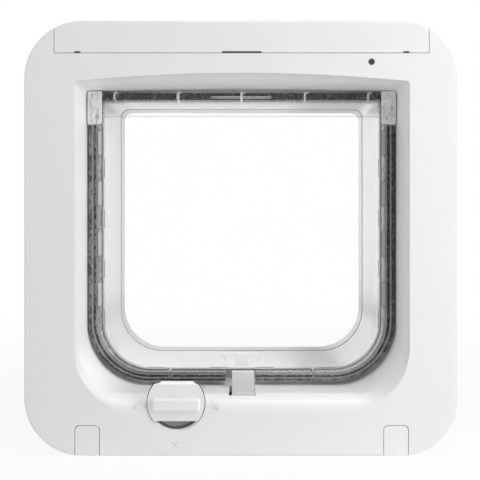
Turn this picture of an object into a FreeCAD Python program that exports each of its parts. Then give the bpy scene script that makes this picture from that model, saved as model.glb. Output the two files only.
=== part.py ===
import FreeCAD, Part
import Sketcher
import math
import os

# A pet flap for a door. X runs to the right, Y from the room to the outside, Z up.
# The origin is the middle of the tunnel in the plane where the inner housing meets the door.

doc = FreeCAD.newDocument("CatFlap")
sheet = doc.addObject("Spreadsheet::Sheet", "Sizes")

sizes = {
    # walls and clearances that many pieces share
    "wall": 2.5, "rearWall": 3, "edgeRound": 1.2, "cornerRadius": 28, "jointGap": 0.3,
    "slideGap": 0.3, "nearGap": 0.1, "fitGap": 0.05,
    # clear opening of the tunnel, and the housing's width beyond it
    "openingHalf": 72.3, "openingTop": 75.8, "openingBottom": 68.7,
    "openingRadius": 25, "openingTopRadius": 5, "openingSide": 32.7,
    "tunnelWall": 2, "tunnelShort": 2.4, "flangeWall": 2, "flangeLap": 1.55,
    # recess in the front
    "recessWall": 2, "recessDraft": 1.5, "recessArch": 3.6, "recessBackArch": 0.4,
    "recessTopRise": 0.3, "recessFloorGap": 1, "recessFrontRadius": 24,
    "recessTopRadius": 2, "recessGap": 0.4, "flare": 8, "mouthSpread": 3.2,
    # flap and its pivot
    "pivotSetback": 5, "pivotDrop": 9.3, "flapGap": 0.7, "flapPane": 2, "flapRim": 5,
    "rimWidth": 2.2, "barrelRadius": 3.8, "pinRadius": 2,
    "tabLength": 10.4, "tabPitch": 26, "tabLift": 1.4, "tabRise": 0.8, "tabWidth": 0.6,
    "footTabPlace": 12.2, "footTabPitch": 31.9,
    "pocketTopHalf": 9.9, "pocketFootHalf": 7.4, "pocketHeight": 7, "pocketFoot": 1.1,
    "pocketRise": 2.4, "magnetWidth": 7.4, "magnetHeight": 5.6,
    # seal around the flap
    "carrierDepth": 9, "carrierBase": 2, "blockWall": 3.7, "blockLow": 8.5, "blockHigh": 7.4,
    "rowHeight": 5.8, "rowInset": 1, "rowGap": 0.15, "rowOneWall": 0.8, "ribOneWall": 0.5,
    "rowTwoWall": 1.5, "ribTwoWall": 0.5, "rowThreeWall": 1.9, "footShare": 0.8,
    "lipInset": 0.3, "lipWall": 0.8, "lipNotch": 0.7, "topRowGap": 0.6, "topRowDrop": 0.8,
    "topRowEnd": 6.9, "bridgeWidth": 1, "clipPlace": 37.1, "clipWidth": 1.2,
    "sealRoomLeft": 3.2, "sealRoomRight": 0.6,
    # battery lid and bay
    "lidInset": 14.8, "lidRise": 1.9, "lidNotch": 0.8, "lidSlotHalf": 9.4, "lidNotchWidth": 3,
    "lidNotchInset": 10.9, "bayFloorWall": 1.2, "bayWall": 2, "baySide": 41,
    "cellRadius": 7.1, "cellLength": 49.5, "cellNub": 1.2, "cellNubRadius": 2.7, "cellInner": 9,
    "cellRowGap": 1.2, "cellRoom": 0.8, "contactDepth": 4.2, "contactWall": 0.9,
    # circuit board, its parts and the lamp
    "boardReach": 6, "boardWall": 1.6, "boardRoom": 1.1, "boardRear": 3, "partRoom": 2.3,
    "readerSide": 12, "readerHeight": 1.4, "driverLength": 8, "driverWidth": 5,
    "driverHeight": 1.5, "switchSide": 6, "switchHeight": 1.2, "chipPitch": 22,
    "lampInset": 7.4, "lampRise": 2.6, "lampRadius": 1.5, "lampDomeRadius": 0.9,
    "buttonRadius": 3, "buttonStem": 1.5, "buttonTravel": 0.6, "buttonHeight": 3,
    # screws and their covers
    "screwLowInset": 2.6, "screwLowRise": 8, "screwHighShift": 3, "screwHighDrop": 8.5,
    "screwRadius": 1.9, "headRadius": 3.8, "headHeight": 2.6, "bossRadius": 5.2, "bossFront": 12,
    "holeGap": 0.4, "coverHalf": 5.8, "coverHeight": 14.2, "coverRadius": 2, "coverLift": 0.4,
    "clipWall": 1.2, "smallScrewRadius": 1.3, "smallHeadRadius": 2.7, "smallHeadHeight": 1.5,
    "smallBoss": 3.2, "smallScrewLength": 14, "smallScrewShort": 1.4, "smallScrewInset": 6.4,
    "smallScrewHigh": 40.4, "smallScrewSide": 43.8,
    # powered latch
    "latchLeft": 4.8, "latchRight": 6.4, "latchLower": 0.4, "latchWall": 4.1,
    "footRise": 1, "footWall": 1.5, "footReach": 12, "stemLeft": 3, "stemRight": 4.6,
    "stemSpare": 3, "latchTravel": 6.5, "slotSpare": 1.4,
    "toothModule": 0.6, "pinionTeeth": 12, "toothHeight": 0.36, "toothDepth": 0.5,
    "rackRoot": 0.5, "backlash": 0.12, "motorRadius": 6, "motorLength": 12, "motorNose": 2,
    "motorRoom": 0.6, "axleRadius": 0.75, "lockRoof": 1.2, "lockSide": 2.3, "lockFloor": 3.1,
    "lockLeftWall": 5,
    # manual lock
    "knobPlace": 31.6, "knobDrop": 2.6, "knobRadius": 13.8, "knobFlat": 8.8, "knobProud": 0.6,
    "knobConeDepth": 4, "drumRadius": 11.8, "drumShoulder": 3, "wellGap": 0.4, "wellWall": 1.6,
    "gripHalf": 11.6, "gripHeight": 3.4, "gripRise": 1.8, "gripDrop": 1, "gripRound": 1.6,
    "arrowHalf": 3.6, "arrowHeight": 4,
    "arrowGap": 0.4, "camRise": 2.2, "camHalfAngle": 32, "camWall": 2.4, "camRoom": 1.9,
    "shaftRadius": 1.5, "shaftGap": 0.06,
    # door side
    "doorGap": 44, "outerDepth": 14, "sleeveWall": 2, "sleeveGap": 0.5, "outerRound": 3,
    "coilFront": 3, "coilWidth": 9, "coilWall": 1.2, "coilCoverWall": 1, "coilCoverTail": 4,
    "sleeveRoom": 3,
}

for row, (name, value) in enumerate(sizes.items(), start=1):
    sheet.set("A%d" % row, name)
    sheet.set("B%d" % row, str(value))
    sheet.setAlias("B%d" % row, name)
doc.recompute()


class Size:
    # a length that knows its value and the expression that gives it
    def __init__(self, value, text):
        self.value = float(value)
        self.text = text

    def join(self, other, sign, value, swapped=False):
        otherText = other.text if isinstance(other, Size) else repr(other)
        pair = (otherText, self.text) if swapped else (self.text, otherText)
        return Size(value, "(%s %s %s)" % (pair[0], sign, pair[1]))

    def __add__(self, other):
        return self.join(other, "+", self.value + number(other))

    def __radd__(self, other):
        return self.join(other, "+", number(other) + self.value, swapped=True)

    def __sub__(self, other):
        return self.join(other, "-", self.value - number(other))

    def __rsub__(self, other):
        return self.join(other, "-", number(other) - self.value, swapped=True)

    def __mul__(self, other):
        return self.join(other, "*", self.value * number(other))

    def __rmul__(self, other):
        return self.join(other, "*", number(other) * self.value, swapped=True)

    def __truediv__(self, other):
        return self.join(other, "/", self.value / number(other))

    def __neg__(self):
        return Size(-self.value, "(-%s)" % self.text)


def number(size):
    return size.value if isinstance(size, Size) else float(size)


def larger(first, second):
    return Size(max(number(first), number(second)), "max(%s; %s)" % (first.text, second.text))


def ordered(first, second):
    # the two ends of a span, the lower one first
    return sorted((first, second), key=number)


class Table:
    pass


s = Table()
for name, value in sizes.items():
    setattr(s, name, Size(value, "Sizes." + name))
origin = Size(0, "0")

# seal, from the opening outwards: three rows of pile with two ribs between them
rowOne = (s.rowInset, s.rowInset + s.rowOneWall)
ribOne = (rowOne[1] + s.rowGap, rowOne[1] + s.rowGap + s.ribOneWall)
rowTwo = (ribOne[1] + s.rowGap, ribOne[1] + s.rowGap + s.rowTwoWall)
ribTwo = (rowTwo[1] + s.rowGap, rowTwo[1] + s.rowGap + s.ribTwoWall)
rowThree = (ribTwo[1] + s.rowGap, ribTwo[1] + s.rowGap + s.rowThreeWall)
carrierReach = rowThree[1]

# depths, from the door towards the room
flangeFront = -(s.rearWall + s.flangeWall)
carrierFront = flangeFront - s.carrierDepth
baseFront = flangeFront - s.carrierBase
flapY = carrierFront + s.pivotSetback
latchBack = carrierFront - s.slideGap
latchFront = latchBack - s.latchWall
motorBack = latchFront - s.wall
motorFront = motorBack - s.motorLength
cellStack = s.rearWall + s.cellRadius * 4 + s.cellRowGap + s.jointGap * 3 + s.wall
motorStack = s.motorRoom + s.wall - motorFront
front = -larger(cellStack, motorStack)
faceBack = front + s.wall
trayFront = faceBack - s.wall / 2
trayBack = -(s.rearWall + s.jointGap)

# depths on the outside of the door
coilCoverEnd = s.coilFront + s.coilWidth + s.coilCoverTail
sleeveStart = coilCoverEnd + s.coilCoverWall + s.sleeveRoom
tunnelEnd = s.doorGap - s.tunnelShort
outerBack = s.doorGap + s.outerDepth

# heights above the opening: recess, circuit board, battery bay, lid
pivotHeight = s.openingTop - s.pivotDrop
sideTop = pivotHeight - s.blockLow
topRowLow = pivotHeight + s.barrelRadius + s.topRowGap
topRowHigh = s.openingTop - s.topRowDrop
recessTopBack = topRowHigh + s.recessGap
recessTopEdge = recessTopBack + s.recessTopRise
boardLow = recessTopEdge + s.recessArch + s.recessWall + s.boardRoom
boardTop = boardLow + s.boardWall
bayFloor = boardTop + s.partRoom
bayFloorTop = bayFloor + s.bayFloorWall
lidLow = bayFloorTop + s.lidRise
top = bayFloorTop + s.cellRadius * 2 + s.cellRoom + s.wall

# heights below the opening, all counted downwards: flap, recess floor, latch and motor
flapBottom = s.openingBottom - s.flapGap
recessFloor = s.openingBottom + carrierReach + s.recessFloorGap
latchTop = flapBottom + s.latchLower
footTop = recessFloor - s.footRise
lockTop = recessFloor + s.recessWall + s.mouthSpread + s.nearGap
pinionHeight = lockTop + s.lockRoof + s.motorRadius
stemFoot = pinionHeight + s.latchTravel + s.stemSpare
lockFoot = stemFoot + s.slideGap * 2 + s.lockFloor
bottom = lockFoot + s.jointGap + s.wall
knobHeight = recessFloor + s.knobDrop
camRadius = knobHeight - flapBottom + s.camRise

# places across
flapHalf = s.openingHalf - s.flapGap
blockOuter = s.openingHalf + carrierReach
blockInner = blockOuter - s.blockWall
recessBack = blockOuter + s.recessGap
recessFront = recessBack + s.recessDraft
bayHalf = s.cellInner + s.cellLength + s.cellNub + s.nearGap + s.contactDepth
boardHalf = bayHalf + s.boardReach
half = larger(bayHalf + s.baySide, s.openingHalf + s.openingSide)
lidHalf = half - s.lidInset
lampPlace = boardHalf - s.lampInset
lampHeight = boardLow + s.lampRise
slotLeft = s.latchLeft + s.slotSpare
slotRight = s.latchRight + s.slideGap
pitchRadius = s.toothModule * s.pinionTeeth / 2
pinionPlace = s.stemRight + s.toothDepth + pitchRadius

# screws
lowScrews = [(side * (half - s.cornerRadius - s.screwLowInset), -(bottom - s.screwLowRise))
             for side in (-1, 1)]
highScrews = [(side * (half - s.cornerRadius + s.screwHighShift), top - s.screwHighDrop)
              for side in (-1, 1)]
smallScrews = [(side * (half - s.smallScrewInset), level * s.smallScrewHigh)
               for side in (-1, 1) for level in (-1, 1)]
smallScrews += [(side * s.smallScrewSide, -(bottom - s.smallScrewInset)) for side in (-1, 1)]

nodes = []


def bind(thing, name, size):
    # a size from the sheet is bound, a plain number is set
    if isinstance(size, Size):
        thing.setExpression(name, size.text)
    else:
        setattr(thing, name, size)


def node(thing, name):
    thing.Label = name
    nodes.append(thing)


def newBody(name):
    return doc.addObject("PartDesign::Body", name)


def newSketch(body, role, offset):
    sketch = body.newObject("Sketcher::SketchObject", "Sketch")
    plane = [item for item in body.Origin.OriginFeatures if item.Role == role][0]
    sketch.AttachmentSupport = (plane, [""])
    sketch.MapMode = "FlatFace"
    sketch.setExpression("AttachmentOffset.Base.z", offset.text)
    return sketch


def place(sketch, index, point, x, y):
    # ties a point of the sketch to its distances from the origin
    for kind, size in (("DistanceX", x), ("DistanceY", y)):
        at = sketch.addConstraint(Sketcher.Constraint(kind, -1, 1, index, point, number(size)))
        sketch.setExpression("Constraints[%d]" % at, size.text)


def outline(sketch, corners):
    # a closed outline through the corners, each one (x, y) or (x, y, radius)
    points = [FreeCAD.Vector(number(c[0]), number(c[1]), 0) for c in corners]
    count = len(points)
    starts, ends, arcs = [], [], {}
    for i, corner in enumerate(corners):
        here = points[i]
        before = (points[i - 1] - here).normalize()
        after = (points[(i + 1) % count] - here).normalize()
        if len(corner) < 3:
            starts.append(here)
            ends.append(here)
            continue
        radius = number(corner[2])
        halfAngle = before.getAngle(after) / 2
        cutBack = radius / math.tan(halfAngle)
        centre = here + (before + after).normalize() * (radius / math.sin(halfAngle))
        ends.append(here + before * cutBack)
        starts.append(here + after * cutBack)
        leftTurn = before.cross(after).z < 0
        first, last = (ends[i], starts[i]) if leftTurn else (starts[i], ends[i])
        angles = [math.atan2(p.y - centre.y, p.x - centre.x) for p in (first, last)]
        circle = Part.Circle(centre, FreeCAD.Vector(0, 0, 1), radius)
        arcs[i] = (Part.ArcOfCircle(circle, angles[0], angles[1]), leftTurn, corner[2])
    lines = []
    for i in range(count):
        line = Part.LineSegment(starts[i], ends[(i + 1) % count])
        lines.append(sketch.addGeometry(line, False))
    for i, corner in enumerate(corners):
        incoming, outgoing = lines[i - 1], lines[i]
        if i not in arcs:
            sketch.addConstraint(Sketcher.Constraint("Coincident", incoming, 2, outgoing, 1))
            place(sketch, outgoing, 1, corner[0], corner[1])
            continue
        shape, leftTurn, radius = arcs[i]
        arc = sketch.addGeometry(shape, False)
        first, last = (1, 2) if leftTurn else (2, 1)
        sketch.addConstraint(Sketcher.Constraint("Tangent", incoming, 2, arc, first))
        sketch.addConstraint(Sketcher.Constraint("Tangent", arc, last, outgoing, 1))
        tip = sketch.addGeometry(Part.Point(points[i]), True)
        sketch.addConstraint(Sketcher.Constraint("PointOnObject", tip, 1, incoming))
        sketch.addConstraint(Sketcher.Constraint("PointOnObject", tip, 1, outgoing))
        place(sketch, tip, 1, corner[0], corner[1])
        at = sketch.addConstraint(Sketcher.Constraint("Radius", arc, number(radius)))
        sketch.setExpression("Constraints[%d]" % at, radius.text)


def circleIn(sketch, x, y, radius):
    centre = FreeCAD.Vector(number(x), number(y), 0)
    circle = Part.Circle(centre, FreeCAD.Vector(0, 0, 1), number(radius))
    index = sketch.addGeometry(circle, False)
    place(sketch, index, 3, x, y)
    at = sketch.addConstraint(Sketcher.Constraint("Radius", index, number(radius)))
    sketch.setExpression("Constraints[%d]" % at, radius.text)


def draw(sketch, shapes):
    # a shape is a circle, as a tuple (x, y, radius), or a list of corners
    for shape in shapes:
        if isinstance(shape, tuple):
            circleIn(sketch, *shape)
        else:
            outline(sketch, shape)


def grow(body, name, role, offset, shapes, length):
    sketch = newSketch(body, role, offset)
    draw(sketch, shapes)
    made = body.newObject("PartDesign::Pad", name)
    made.Profile = (sketch, [""])
    bind(made, "Length", length)
    doc.recompute()


def pocket(body, name, role, offset, shapes, length):
    # takes material away, and stops the macro where there is none to take
    before = body.Shape.Volume
    sketch = newSketch(body, role, offset)
    draw(sketch, shapes)
    made = body.newObject("PartDesign::Pocket", name)
    made.Profile = (sketch, [""])
    bind(made, "Length", length)
    doc.recompute()
    if not body.Shape.Volume < before:
        raise RuntimeError("%s cuts nothing" % name)


def pad(body, name, shapes, low, high):
    # material from Y = low to Y = high, drawn in X and Z
    grow(body, name, "XZ_Plane", -high, shapes, high - low)


def cut(body, name, shapes, low, high):
    pocket(body, name, "XZ_Plane", -low, shapes, high - low)


def padSide(body, name, shapes, low, high):
    # material from X = low to X = high, drawn in Y and Z
    grow(body, name, "YZ_Plane", low, shapes, high - low)


def cutSide(body, name, shapes, low, high):
    pocket(body, name, "YZ_Plane", high, shapes, high - low)


def cutDown(body, name, shapes, low, high):
    # a hole from Z = high down to Z = low, drawn in X and Y
    pocket(body, name, "XY_Plane", high, shapes, high - low)


def loft(body, kind, name, sections):
    # a loft through outlines at several depths, (y, corners) from the front to the back
    sketches = []
    for y, corners in sections:
        sketch = newSketch(body, "XZ_Plane", -y)
        outline(sketch, corners)
        sketches.append(sketch)
    made = body.newObject(kind, name)
    made.Profile = (sketches[0], [""])
    made.Sections = [(sketch, [""]) for sketch in sketches[1:]]
    made.Ruled = len(sections) == 2
    doc.recompute()


def roundFace(body, name, y, radius):
    # rounds the outer edges of the largest flat face that lies at Y = y
    tolerance = 0.001
    base = body.Tip
    level = number(y)
    best, bestArea = None, 0
    for index, face in enumerate(base.Shape.Faces, start=1):
        extent = face.BoundBox
        flat = abs(extent.YMin - level) < tolerance and abs(extent.YMax - level) < tolerance
        if flat and face.Area > bestArea:
            best, bestArea = index, face.Area
    made = body.newObject("PartDesign::Fillet", name)
    made.Base = (base, ["Face%d" % best])
    bind(made, "Radius", radius)
    doc.recompute()


def box(name, x, y, z):
    made = doc.addObject("Part::Box", name)
    for side, axis, (low, high) in zip(("Length", "Width", "Height"), "xyz", (x, y, z)):
        bind(made, side, high - low)
        made.setExpression("Placement.Base." + axis, low.text)
    return made


turnToY = FreeCAD.Rotation(FreeCAD.Vector(1, 0, 0), -90)
turnToX = FreeCAD.Rotation(FreeCAD.Vector(0, 1, 0), 90)
upright = FreeCAD.Rotation()


def cylinder(name, turn, x, y, z, radius, length, tipRadius=None):
    # a cylinder or cone whose foot is at x, y, z and that runs along the turned axis
    made = doc.addObject("Part::Cone" if tipRadius else "Part::Cylinder", name)
    made.Placement.Rotation = turn
    for axis, size in zip("xyz", (x, y, z)):
        made.setExpression("Placement.Base." + axis, size.text)
    if tipRadius:
        bind(made, "Radius1", radius)
        bind(made, "Radius2", tipRadius)
    else:
        bind(made, "Radius", radius)
    bind(made, "Height", length)
    return made


def fuse(name, parts):
    made = doc.addObject("Part::MultiFuse", name)
    made.Shapes = parts
    return made


def minus(name, base, tools):
    made = doc.addObject("Part::Cut", name)
    made.Base = base
    made.Tool = tools[0] if len(tools) == 1 else fuse(name + "Tools", tools)
    return made


def group(name, parts):
    made = doc.addObject("Part::Compound", name)
    made.Links = parts
    return made


def rectangle(left, right, low, high, lowRadius=None, highRadius=None):
    corners = [(left, low), (right, low), (right, high), (left, high)]
    radii = [lowRadius, lowRadius, highRadius, highRadius]
    return [c + (r,) if r is not None else c for c, r in zip(corners, radii)]


def around(offset):
    # the opening's outline, moved outwards by an offset
    return rectangle(-(s.openingHalf + offset), s.openingHalf + offset,
                     -(s.openingBottom + offset), s.openingTop + offset,
                     s.openingRadius + offset, s.openingTopRadius + offset)


def channel(inner, outer, high, share=1):
    # a U that runs round the sides and the foot of the opening between two offsets, which
    # shrink to a share of themselves at the foot
    wide, narrow = s.openingHalf + outer, s.openingHalf + inner
    foot, floor = -(s.openingBottom + outer * share), -(s.openingBottom + inner * share)
    return [(-wide, high), (-wide, foot, s.openingRadius + outer),
            (wide, foot, s.openingRadius + outer), (wide, high), (narrow, high),
            (narrow, floor, s.openingRadius + inner), (-narrow, floor, s.openingRadius + inner),
            (-narrow, high)]


def housingOutline(inset):
    return rectangle(-(half - inset), half - inset, -(bottom - inset), top - inset,
                     s.cornerRadius - inset, s.cornerRadius - inset)


def recess(side, floor, lowRadius, topEdge, arch, topRadius):
    # the recess seen from the front: rounded foot, and a top edge that arches over its middle
    arcShare = 0.9
    apex = topEdge + arch * 2
    archRadius = side * side / (arch * 2) * arcShare
    return [(-side, -floor, lowRadius), (side, -floor, lowRadius), (side, topEdge, topRadius),
            (origin, apex, archRadius), (-side, topEdge, topRadius)]


def mouthSection(share):
    # one section of the flared mouth, at a share of the flare's depth; its floor follows a
    # quarter circle from the front face to the level floor
    drop = s.flare * (1 - math.sqrt(1 - (1 - share) ** 2))
    return (front + s.flare * share,
            recess(recessFront, recessFloor + drop, s.recessFrontRadius + drop, recessTopEdge,
                   s.recessArch, s.recessTopRadius))


def recessBackOutline(offset):
    return recess(recessBack + offset, recessFloor + offset,
                  s.openingRadius + carrierReach + s.recessFloorGap + offset,
                  recessTopBack + offset, s.recessBackArch, s.recessTopRadius + offset)


def coverOutline(screw, gap):
    return rectangle(screw[0] - s.coverHalf - gap, screw[0] + s.coverHalf + gap,
                     -(bottom - s.coverLift), -(bottom - s.coverLift - s.coverHeight - gap),
                     None, s.coverRadius + gap)


def knobRing(radius):
    # a ring about the knob's axis, from a square whose corners are rounded into arcs
    arcShare = 0.999
    x, z = -s.knobPlace, -knobHeight
    return rectangle(x - radius, x + radius, z - radius, z + radius, radius * arcShare,
                     radius * arcShare)


def innerFrame():
    body = newBody("InnerFrame")
    knobAxis = (-s.knobPlace, -knobHeight)
    pad(body, "Block", [housingOutline(origin)], front, -s.rearWall)
    roundFace(body, "FrontEdge", front, s.edgeRound)
    cut(body, "Hollow", [housingOutline(s.wall)], faceBack, -s.rearWall)
    lidGap = lidHalf + s.jointGap
    cut(body, "LidOpening", [rectangle(-lidGap, lidGap, lidLow - s.jointGap, top + s.wall)],
        front, -s.rearWall)
    outer = s.recessWall
    mouthWall = s.recessWall + s.mouthSpread
    loft(body, "PartDesign::AdditiveLoft", "RecessWalls", [
        (trayFront, recess(
            recessFront + outer, recessFloor + mouthWall, s.recessFrontRadius + mouthWall,
            recessTopEdge + outer, s.recessArch, s.recessTopRadius + outer)),
        (flangeFront, recessBackOutline(outer))])
    # battery bay floor, its end walls and the rests of the circuit board
    bayEnd = bayHalf + s.bayWall
    pad(body, "BayFloor", [rectangle(-bayEnd, bayEnd, bayFloor, bayFloorTop)], trayFront,
        trayBack)
    boardMiddle = (faceBack + s.boardRoom - s.rearWall - s.boardRear) / 2
    cutDown(body, "ButtonHole", [(origin, boardMiddle, s.buttonStem + s.slideGap)], bayFloor,
            bayFloorTop)
    for side in (-1, 1):
        left, right = ordered(side * bayHalf, side * bayEnd)
        pad(body, "BayEnd", [rectangle(left, right, bayFloorTop - s.bayFloorWall / 2,
                                       top - s.wall - s.jointGap * 2)],
            faceBack + s.jointGap, trayBack)
        left, right = ordered(side * (boardHalf - s.bayWall * 2), side * (boardHalf - s.bayWall))
        pad(body, "BoardRest", [rectangle(left, right, recessTopBack + outer / 2, boardLow)],
            faceBack + s.boardRoom + s.wall, -(s.rearWall + s.boardRear))
    # tubes behind the screw covers
    for screw in lowScrews:
        pad(body, "ScrewTube", [coverOutline(screw, s.jointGap + s.wall)],
            trayFront, -(s.bossFront + s.headHeight + s.jointGap))
    pad(body, "SmallBosses", [(x, z, s.smallBoss) for x, z in smallScrews], trayFront,
        -s.rearWall)
    cut(body, "SmallHoles", [(x, z, s.smallScrewRadius) for x, z in smallScrews],
        -(s.rearWall + s.smallScrewLength), -s.rearWall)
    # cup that holds the knob
    cupBack = latchBack - s.camWall - s.camRoom
    pad(body, "KnobCup", [knobAxis + (s.drumRadius + s.wellGap + s.wellWall,)], trayFront,
        cupBack)
    # recess mouth, which flares towards the front at its foot, and its drafted walls
    shares = (0, 0.1, 0.4, 1)
    loft(body, "PartDesign::SubtractiveLoft", "Mouth", [mouthSection(share) for share in shares])
    loft(body, "PartDesign::SubtractiveLoft", "Recess",
         [mouthSection(1), (flangeFront, recessBackOutline(origin))])
    # conical seat and bore of the knob, and the way of its shaft and cam
    loft(body, "PartDesign::SubtractiveLoft", "KnobSeat", [
        (front, knobRing(s.knobRadius + s.wellGap)),
        (front - s.knobProud + s.knobConeDepth, knobRing(s.drumRadius + s.wellGap))])
    cut(body, "KnobBore", [knobAxis + (s.drumRadius + s.wellGap,)], front, cupBack - s.wellWall)
    cut(body, "ShaftHole", [knobAxis + (s.shaftRadius + s.shaftGap,)], front, cupBack + s.wall)
    cut(body, "ShaftGroove", [knobAxis + (s.shaftRadius + s.slideGap,)], cupBack, baseFront)
    slotFoot = -(recessFloor + s.recessWall + s.wall)
    camReach = camRadius + s.slideGap
    slotBack = carrierFront + s.slideGap / 2
    cut(body, "CamSlot", [rectangle(-(s.knobPlace + camReach), -(s.knobPlace - camReach),
                                    slotFoot, -latchTop)],
        latchBack - s.camWall - s.slideGap, slotBack)
    cut(body, "LatchSlot", [rectangle(-slotLeft, slotRight, slotFoot, -latchTop)],
        latchFront - s.footReach - s.slideGap, slotBack)
    cut(body, "LampHole", [(lampPlace, lampHeight, s.lampRadius + s.nearGap)], front, faceBack)
    for screw in lowScrews:
        cut(body, "CoverOpening", [coverOutline(screw, s.jointGap)], front, -s.bossFront)
    node(body, "inner_frame")


def rearCover():
    body = newBody("RearCover")
    opening = s.tunnelWall + s.coilWall + s.coilCoverWall + s.jointGap * 3
    pad(body, "Plate", [housingOutline(origin), around(opening)], -s.rearWall, origin)
    for x, z in lowScrews + highScrews:
        pad(body, "Boss", [(x, z, s.bossRadius)], -s.bossFront, -s.rearWall)
        cut(body, "ScrewHole", [(x, z, s.screwRadius + s.holeGap)], -s.bossFront, origin)
    for x, z in smallScrews:
        cut(body, "SmallHole", [(x, z, s.smallScrewRadius + s.holeGap)], -s.rearWall, origin)
        cut(body, "HeadSeat", [(x, z, s.smallHeadRadius + s.jointGap)],
            -(s.smallHeadHeight + s.jointGap), origin)
    node(body, "rear_cover")


def batteryCover():
    body = newBody("BatteryCover")
    pad(body, "Block", [housingOutline(origin)], front, trayBack)
    roundFace(body, "FrontEdge", front, s.edgeRound)
    cut(body, "Hollow", [housingOutline(s.wall)], faceBack, trayBack)
    beyond = half + s.wall
    cut(body, "Below", [rectangle(-beyond, beyond, -(bottom + s.wall), lidLow)], front, trayBack)
    notches = [(origin, s.lidSlotHalf)]
    for side in (-1, 1):
        left, right = ordered(side * lidHalf, side * beyond)
        cut(body, "Side", [rectangle(left, right, lidLow - s.wall, top + s.wall)], front,
            trayBack)
        notches.append((side * (lidHalf - s.lidNotchInset), s.lidNotchWidth / 2))
    # a finger slot in the middle of the lower edge and a small notch towards each end
    for middle, reach in notches:
        cut(body, "Notch", [rectangle(middle - reach, middle + reach, lidLow - s.wall,
                                      lidLow + s.lidNotch)], front, faceBack)
    node(body, "battery_cover")


def screwCover(screw, name):
    body = newBody("ScrewCover")
    pad(body, "Plate", [coverOutline(screw, origin)], front, faceBack)
    # two clips that hold the plate in its tube
    clipTop = -(bottom - s.coverLift - s.coverHeight + s.wall)
    for end in (-1, 1):
        middle = screw[0] + end * (s.coverHalf - s.clipWall)
        pad(body, "Clip", [rectangle(middle - s.clipWall / 2, middle + s.clipWall / 2,
                                     clipTop - s.wall, clipTop)],
            faceBack, faceBack + s.coverHalf)
    node(body, name)


def tunnel():
    body = newBody("Tunnel")
    pad(body, "Tube", [around(s.tunnelWall), around(origin)], flangeFront, tunnelEnd)
    pad(body, "Flange", [around(carrierReach + s.flangeLap), around(origin)], flangeFront,
        -s.rearWall)
    node(body, "tunnel")


def antennaCoil():
    body = newBody("AntennaCoil")
    start = s.tunnelWall + s.jointGap / 2
    pad(body, "Winding", [around(start + s.coilWall), around(start)],
        s.coilFront, s.coilFront + s.coilWidth)
    node(body, "antenna_coil")


def coilCover():
    body = newBody("CoilCover")
    start = s.tunnelWall + s.coilWall + s.jointGap
    pad(body, "Band", [around(start + s.coilCoverWall), around(start)], -s.rearWall,
        coilCoverEnd)
    pad(body, "Edge", [around(start + s.coilCoverWall), around(s.tunnelWall + s.nearGap)],
        coilCoverEnd, coilCoverEnd + s.coilCoverWall)
    node(body, "coil_cover")


def clipOutline(side, spare):
    # a narrow clip that holds the foot of the seal, left and right of the latch
    reach = s.clipWidth / 2 + spare
    return rectangle(side * s.clipPlace - reach, side * s.clipPlace + reach,
                     -(s.openingBottom + ribTwo[1] * s.footShare),
                     -(s.openingBottom + s.lipInset * s.footShare))


def tabMiddle(step):
    # height of a castellation at the side, the lowest one just above the rounded corner
    return -(s.openingBottom - s.openingRadius) + s.tabLift + s.tabPitch * step


tabCount = 4


def sealCarrier():
    body = newBody("SealCarrier")
    pad(body, "Base", [channel(s.rowInset / 2, carrierReach, sideTop, s.footShare)], baseFront,
        flangeFront)
    for side in (-1, 1):
        left, right = ordered(side * blockInner, side * blockOuter)
        pad(body, "Block", [rectangle(left, right, sideTop, pivotHeight + s.blockHigh)],
            carrierFront, flangeFront)
        left, right = ordered(side * (s.openingHalf + s.rowInset), side * blockOuter)
        pad(body, "Cheek", [rectangle(left, right, sideTop - s.wall, topRowLow + s.wall)],
            flangeFront - s.carrierBase / 2, flangeFront)
    pad(body, "TopBar", [rectangle(-blockOuter, blockOuter, topRowLow, topRowHigh, None,
                                   s.recessTopRadius)], baseFront, flangeFront)
    for name, rib in (("RibOne", ribOne), ("RibTwo", ribTwo)):
        pad(body, name, [channel(rib[0], rib[1], sideTop, s.footShare)], carrierFront, baseFront)
    pad(body, "Lip", [channel(s.lipInset, ribOne[0] + s.fitGap, sideTop, s.footShare)],
        carrierFront, carrierFront + s.lipWall)
    for side in (-1, 1):
        edge = side * (s.openingHalf + s.lipInset)
        left, right = edge - s.lipNotch, edge + s.lipNotch
        for step in range(tabCount):
            cut(body, "LipNotch", [rectangle(left, right, tabMiddle(step) - s.tabLength / 2,
                                             tabMiddle(step) + s.tabLength / 2)],
                carrierFront, carrierFront + s.lipWall)
        low, high = ordered(side * (blockInner - s.wall), side * (blockOuter + s.wall))
        cutSide(body, "PivotBore", [(flapY, pivotHeight, s.pinRadius + s.fitGap)], low, high)
        pad(body, "FootClip", [clipOutline(side, origin)], carrierFront, baseFront)
    # narrow bridges in front of the top row of bristles
    for step in (-2, -1, 0, 1, 2):
        middle = step * bridgePitch
        pad(body, "Bridge", [rectangle(middle - s.bridgeWidth / 2, middle + s.bridgeWidth / 2,
                                       topRowLow, topRowHigh)], carrierFront, baseFront)
    cut(body, "LatchBreak", [rectangle(
        -(s.latchLeft + s.sealRoomLeft), s.latchRight + s.sealRoomRight,
        -(s.openingBottom + carrierReach + s.wall),
        -(s.openingBottom + s.lipInset * s.footShare))], carrierFront, baseFront)
    node(body, "seal_carrier")


bridgePitch = (s.openingHalf - s.topRowEnd) / 2


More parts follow.
